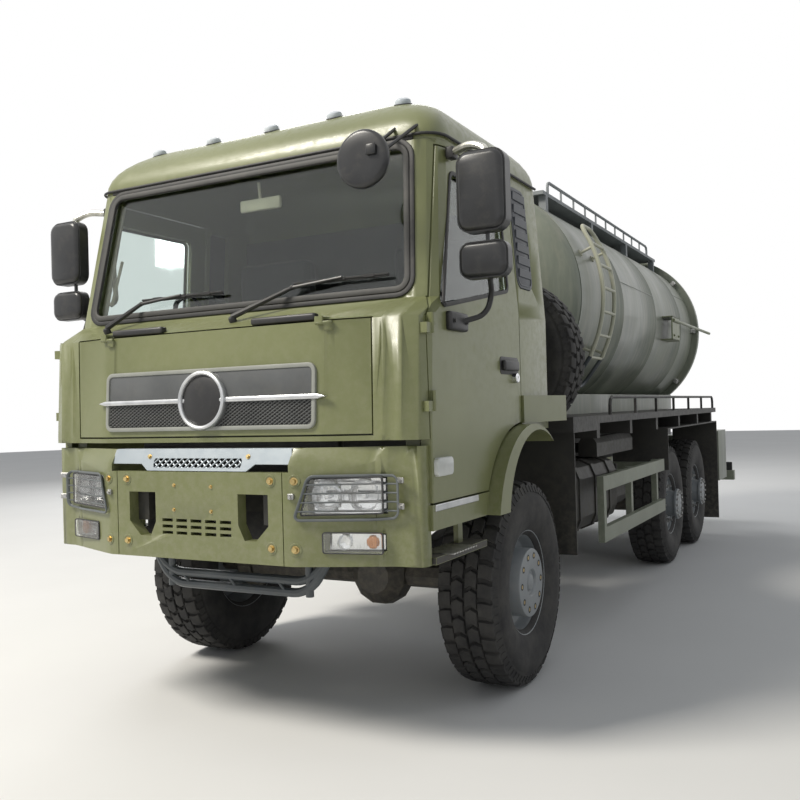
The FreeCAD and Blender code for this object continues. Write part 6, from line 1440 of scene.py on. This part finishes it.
barrel = bmesh.new()
front_end = list(reversed(dished(back(tank_front), tank_radius, 0.250, -1)))
weld = []
for y in weld_places:
    weld += [(back(y - 0.010), tank_radius), (back(y - 0.004), weld_height),
             (back(y + 0.004), weld_height), (back(y + 0.010), tank_radius)]
flange = [(back(7.918), tank_radius), (back(7.920), 0.966), (back(7.924), 0.968), (back(7.956), 0.968),
          (back(7.960), 0.966), (back(7.960), 0.886)]
inner_end = dished(back(tank_front), tank_inner_radius, 0.238, -1)
lathe(barrel, front_end + weld[1:] + flange + inner_end, tank_middle, (0, 1, 0), 96)
barrel_piece = piece("tank_shell", barrel, tank_grey, sharp=40)
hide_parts("tank")
print("tank triangles:", triangles(barrel_piece))

# %% Long seams, clamps and hinge lugs
seams = bmesh.new()
for degrees, start, end in ((38, 3.344, 4.620), (-60, 3.344, 4.620), (75, 4.620, 5.930), (-30, 4.620, 5.930),
                            (30, 5.930, 7.240), (-80, 5.930, 7.240), (65, 7.240, 7.915), (-25, 7.240, 7.915)):
    angle = math.radians(degrees)
    x, z = tank_radius * math.sin(angle), tank_height + tank_radius * math.cos(angle)
    bar(seams, (x, back(start), z), (x, back(end), z), 0.0045, 6)
piece("tank_long_seams", seams, tank_grey)
clamps = bmesh.new()
for degrees in (50, 90, 130, 180, 230, 270, 310):
    lift = Matrix.Translation(tank_middle) @ Matrix.Rotation(math.radians(degrees), 4, "Y")
    part = brick(clamps, (-0.025, back(7.832), 0.893), (0.025, back(7.920), 0.944), 0.006)
    part += bar(clamps, (0, back(7.850), 0.930), (0, back(7.960), 0.930), 0.012, 12)
    part += brick(clamps, (-0.020, back(7.862), 0.918), (0.020, back(7.884), 0.946), 0.004)
    bmesh.ops.transform(clamps, matrix=lift, verts=list(set(part)))
piece("tank_clamps", clamps, worn_steel)
hinge_y, hinge_z = 7.986, 3.391
lugs = bmesh.new()
for low in (-0.330, 0.230):
    bar(lugs, (low, back(hinge_y), hinge_z), (low + 0.050, back(hinge_y), hinge_z), 0.020, 20)
    brick(lugs, (low, back(7.921), 3.243), (low + 0.050, back(7.960), 3.411), 0.006)
    brick(lugs, (low + 0.001, back(7.950), 3.373), (low + 0.049, back(hinge_y), 3.409), 0.004)
piece("tank_lugs", lugs, tank_grey)

# %% Manhole neck
neck = bmesh.new()
neck_line = [(3.236, 0.229), (3.340, 0.229), (3.346, 0.244), (3.362, 0.246), (3.364, 0.244), (3.364, 0.219),
             (3.240, 0.219)]
lathe(neck, neck_line + neck_line[:1], (0, back(5.600), 0), (0, 0, 1), 48)
brick(neck, (-0.060, back(5.808), 3.325), (-0.011, back(5.878), 3.366), 0.004)
piece("manhole_neck", neck, tank_grey)

# %% Rear door of the tank
door = bmesh.new()
door_line = [(back(7.966), 0.886), (back(7.966), 0.966), (back(7.970), 0.968), (back(8.002), 0.968),
             (back(8.006), 0.966), (back(8.006), tank_radius)]
door_outside = dished(back(8.006), tank_radius, 0.190, 1)
door_inside = list(reversed(dished(back(8.006), tank_inner_radius, 0.178, 1)))
lathe(door, door_line + door_outside + door_inside + door_line[:1], tank_middle, (0, 1, 0), 96)
for low in (-0.2797, 0.2803):
    bar(door, (low, back(hinge_y), hinge_z), (low + 0.0497, back(hinge_y), hinge_z), 0.0199, 20)
    brick(door, (low, back(7.967), 3.243), (low + 0.0497, back(8.005), hinge_z), 0.006)
door_piece = piece("tank_rear_door", door, tank_grey, "tank_door", 40)
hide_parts("tank_door")

# %% [markdown]
# ## Ladder, side arm and walkway rail
# The ladder is bent tube that follows the barrel. Its points come from angles measured from
# the top of the tank, and a Bezier bend eases each corner.

# %% Ladder
def beside_tank(degrees, radius, y):
    angle = math.radians(degrees)
    return Vector((radius * math.sin(angle), back(y), tank_height + radius * math.cos(angle)))


ladder_radius = 1.007
near_y, far_y = 3.560, 3.890
stiles = [beside_tank(a, ladder_radius, near_y) for a in (118, 108, 98, 88, 78, 68)]
stiles += [beside_tank(56, ladder_radius, near_y + 0.02), beside_tank(56, ladder_radius, far_y - 0.02)]
stiles += [beside_tank(a, ladder_radius, far_y) for a in (68, 78, 88, 98, 108, 118)]
ladder_piece = pipe("ladder_loop", stiles, 0.0165, ladder_cream, bend=0.07)
foot_loop = [beside_tank(118, ladder_radius, near_y), beside_tank(134, ladder_radius, near_y + 0.02),
             beside_tank(134, ladder_radius, far_y - 0.02), beside_tank(118, ladder_radius, far_y)]
pipe("ladder_foot", foot_loop, 0.0160, tube_paint, bend=0.07)
rungs = bmesh.new()
for degrees in (66, 76.5, 87, 97.5, 108, 118.5):
    bar(rungs, beside_tank(degrees, ladder_radius, near_y), beside_tank(degrees, ladder_radius, far_y),
        0.0125, 12)
for degrees in (68, 116):
    for y in (near_y, far_y):
        bar(rungs, beside_tank(degrees, 0.890, y), beside_tank(degrees, ladder_radius, y), 0.0115, 12)
        bar(rungs, beside_tank(degrees, 0.895, y), beside_tank(degrees, 0.905, y), 0.028, 12)
piece("ladder_rungs", rungs, ladder_cream)
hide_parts("ladder")
side_arm = bmesh.new()
brick(side_arm, (0.987, back(6.230), 2.180), (1.001, back(6.600), 2.430), 0.004)
brick(side_arm, (0.870, back(6.230), 2.180), (1.001, back(6.600), 2.194), 0.004)
brick(side_arm, (0.870, back(6.230), 2.416), (1.001, back(6.600), 2.430), 0.004)
bar(side_arm, (1.008, back(6.250), 2.385), (1.008, back(8.500), 2.385), 0.016, 16)
bolt(side_arm, (1.001, back(6.300), 2.230), (1, 0, 0), 0.020)
bolt(side_arm, (1.001, back(6.530), 2.230), (1, 0, 0), 0.020)
piece("side_arm", side_arm, tank_green)
print("ladder triangles:", triangles(ladder_piece))

# %% [markdown]
# ## Bolts on the bumper, and the painted shade behind it
# Large brass bolts in pressed collars hold the bumper, and four small ones hold its middle.
# A ray towards the solid finds where each one stands. Through the openings and the gap
# above the bumper one sees dark parts in shade. A black block where the radiator's
# lower half stands is painted shade for them.

# %% Bumper bolts and painted shade behind the bumper
bumper_bolts, bolt_collars = bmesh.new(), bmesh.new()
for x in (0.435, 0.562):
    for height in (0.925, 1.227):
        for side in (1, -1):
            spot, normal = surface("bumper", (side * x, -6, height), (0, 1, 0))
            bolt(bumper_bolts, spot - normal * 0.001, normal, 0.024)
            lathe(bolt_collars, [(-0.001, 0.031), (0.003, 0.028), (0.0035, 0.023), (0.001, 0.018)], spot,
                  normal, 20)
for x, height in ((-0.130, 1.200), (0.094, 1.196), (-0.134, 1.083), (0.093, 1.080)):
    spot, normal = surface("bumper", (x, -6, height), (0, 1, 0))
    bolt(bumper_bolts, spot - normal * 0.001, normal, 0.013)
bolt_pieces = [piece("bumper_bolts", bumper_bolts, brass),
               piece("bumper_bolt_collars", bolt_collars, cab_green)]
# A black block behind the bumper: painted shade for the dark space seen through its openings.
shade_block = bmesh.new()
brick(shade_block, (-0.600, back(0.300), 0.905), (0.600, back(0.340), 1.425), 0.006)
brick(shade_block, (-0.610, back(0.290), 1.330), (0.620, back(0.350), 1.425), 0.020, 2)
piece("shade_behind_bumper", shade_block, black_plastic)
print("bolt triangles:", [triangles(thing) for thing in bolt_pieces])

# %% [markdown]
# ## The swept ends of the bumper and nose
# Seen from above, the real bumper and nose sweep back towards their ends, where the solids are
# flat. Copies of these solids are sliced every 25 mm, so that they can bend, and each point
# near the front moves back and a little inwards. The lamps and their guards move by the same rule.

# %% How far a point moves
slice_width = 0.025
bend_steps = [slice_width * step for step in range(22, 46)]
sweep_depth = 0.36


def spread(x, stops):
    """Reads a value between the stops (place, value) of a bent line."""
    for (low, first), (high, last) in zip(stops, stops[1:]):
        if x <= high:
            return first + (last - first) * max(0.0, x - low) / (high - low)
    return stops[-1][1]


def swept(place, lag, inward, fade):
    """A point of the front, moved back by lag and inwards by inward."""
    x, front = abs(place.x), max(0.0, 1.0 - max(0.0, place.y - back(0.0)) / sweep_depth)
    share = front * fade(place.z)
    moved_x = x - spread(x, inward) * share
    return Vector((math.copysign(moved_x, place.x), place.y + spread(x, lag) * share, place.z))


bumper_lag = [(0.55, 0.0), (0.95, 0.132), (1.02, 0.120), (1.10, 0.050), (1.15, 0.0)]
bumper_inward = [(0.60, 0.0), (0.96, 0.052), (1.04, 0.040), (1.12, 0.0)]
nose_lag = [(0.66, 0.0), (0.90, 0.072), (1.00, 0.070), (1.08, 0.030), (1.13, 0.0)]
nose_inward = [(0.80, 0.0), (1.00, 0.020), (1.10, 0.0)]


def sweep_piece(thing, lag, inward, fade):
    """Moves every point of a finished piece by the same rule."""
    for vertex in thing.data.vertices:
        vertex.co = swept(vertex.co, lag, inward, fade)
    thing.data.update()


def swept_solid(node_name, name, finish, lag, inward, fade, body="chassis"):
    """A sliced and bent copy of a CAD solid, which takes its place."""
    shape = bmesh.new()
    shape.from_mesh(cad_nodes[node_name].data)
    bmesh.ops.remove_doubles(shape, verts=shape.verts, dist=0.00002)
    for step in bend_steps:
        for side in (1, -1):
            bmesh.ops.bisect_plane(shape, geom=shape.verts[:] + shape.edges[:] + shape.faces[:], dist=0.0001,
                                   plane_co=(side * step, 0, 0), plane_no=(1, 0, 0))
    for vertex in shape.verts:
        vertex.co = swept(vertex.co, lag, inward, fade)
    made = piece(name, shape, finish, body, 30)
    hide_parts(node_name)
    return made


# %% Bend them
fade_top, fade_span = 2.02, 0.12


def whole(height):
    """The bumper moves at every height."""
    return 1.0


def nose_fade(height):
    """The nose moves fully below the windscreen, and not at all above its foot."""
    return max(0.0, min(1.0, (fade_top - height) / fade_span))


bent = [swept_solid("bumper", "swept_bumper", cab_green, bumper_lag, bumper_inward, whole),
        swept_solid("cab_shell", "swept_cab", cab_green, nose_lag, nose_inward, nose_fade),
        swept_solid("front_flap", "swept_flap", cab_green, nose_lag, nose_inward, nose_fade, "front_flap")]
for thing in guard_rods + cases + covers + bowls + bulbs + bolt_pieces:
    sweep_piece(thing, bumper_lag, bumper_inward, whole)
print("bent solids:", [(thing.name, triangles(thing)) for thing in bent])

# %% [markdown]
# ## Small pieces of the sides
# A bright strip runs along the sill, ribs grip the boot on each dark step, and a cream grab
# handle stands inside each pillar. The step's own corners give the size of its tread.

# %% Sill strip, step ribs and grab handles
strip, ribs = bmesh.new(), bmesh.new()
tread_points = [v.co for v in cad_nodes["cab_steps"].data.vertices if v.co.z < 0.93 and v.co.x > 0]
tread_low = [min(p[axis] for p in tread_points) - 0.0006 for axis in range(3)]
tread_high = [max(p[axis] for p in tread_points) + 0.0006 for axis in range(3)]
print("left step from", [round(v, 3) for v in tread_low], "to", [round(v, 3) for v in tread_high])
pair("step_tread", lambda shape: brick(shape, tread_low, tread_high, 0.003), iron_dark)
for side in (1, -1):
    spot, normal = surface("cab_steps", (side * 3, back(0.480), 1.100), (-side, 0, 0))
    low, high = sorted((spot.x - side * 0.004, spot.x + side * 0.007))
    brick(strip, (low, back(0.250), 1.082), (high, back(0.720), 1.112), 0.003)
    for number in range(9):
        spot, normal = surface("cab_steps", (side * 1.090, back(0.480) + 0.030 * (number - 4), 0.95),
                               (0, 0, -1))
        if spot is not None and normal.z > 0.9:
            low, high = sorted((side * 1.010, side * 1.170))
            brick(ribs, (low, spot.y - 0.006, spot.z - 0.001), (high, spot.y + 0.006, spot.z + 0.006), 0.002)
piece("sill_strip", strip, silver_strip)
piece("step_ribs", ribs, worn_steel)
handle_line = [(1.050, back(0.520), 2.180), (1.005, back(0.520), 2.200), (1.005, back(0.500), 2.480),
               (1.050, back(0.500), 2.500)]
pipe_pair("grab_handle", handle_line, 0.014, cream_plastic, "chassis", bend=0.03)

# %% [markdown]
# ## The floor
# It is wide enough that no view from above sees its edge.

# %% Floor
floor_mesh = bmesh.new()
bmesh.ops.create_circle(floor_mesh, cap_ends=True, segments=64, radius=40)
floor_data = bpy.data.meshes.new("floor")
floor_mesh.to_mesh(floor_data)
floor_mesh.free()
floor = bpy.data.objects.new("floor", floor_data)
bpy.context.scene.collection.objects.link(floor)
floor_paint, floor_shader = shader_of("floor_paper", 0.95, 0.0, 0.1)
floor_cloud = noise(floor_paint, object_place(floor_paint), 0.6)
connect(floor_paint, ramp(floor_paint, floor_cloud, 0.3, 0.7, (0.80, 0.80, 0.79, 1), (0.83, 0.83, 0.82, 1)),
        floor_shader.inputs["Base Color"])
floor_data.materials.append(floor_paint)
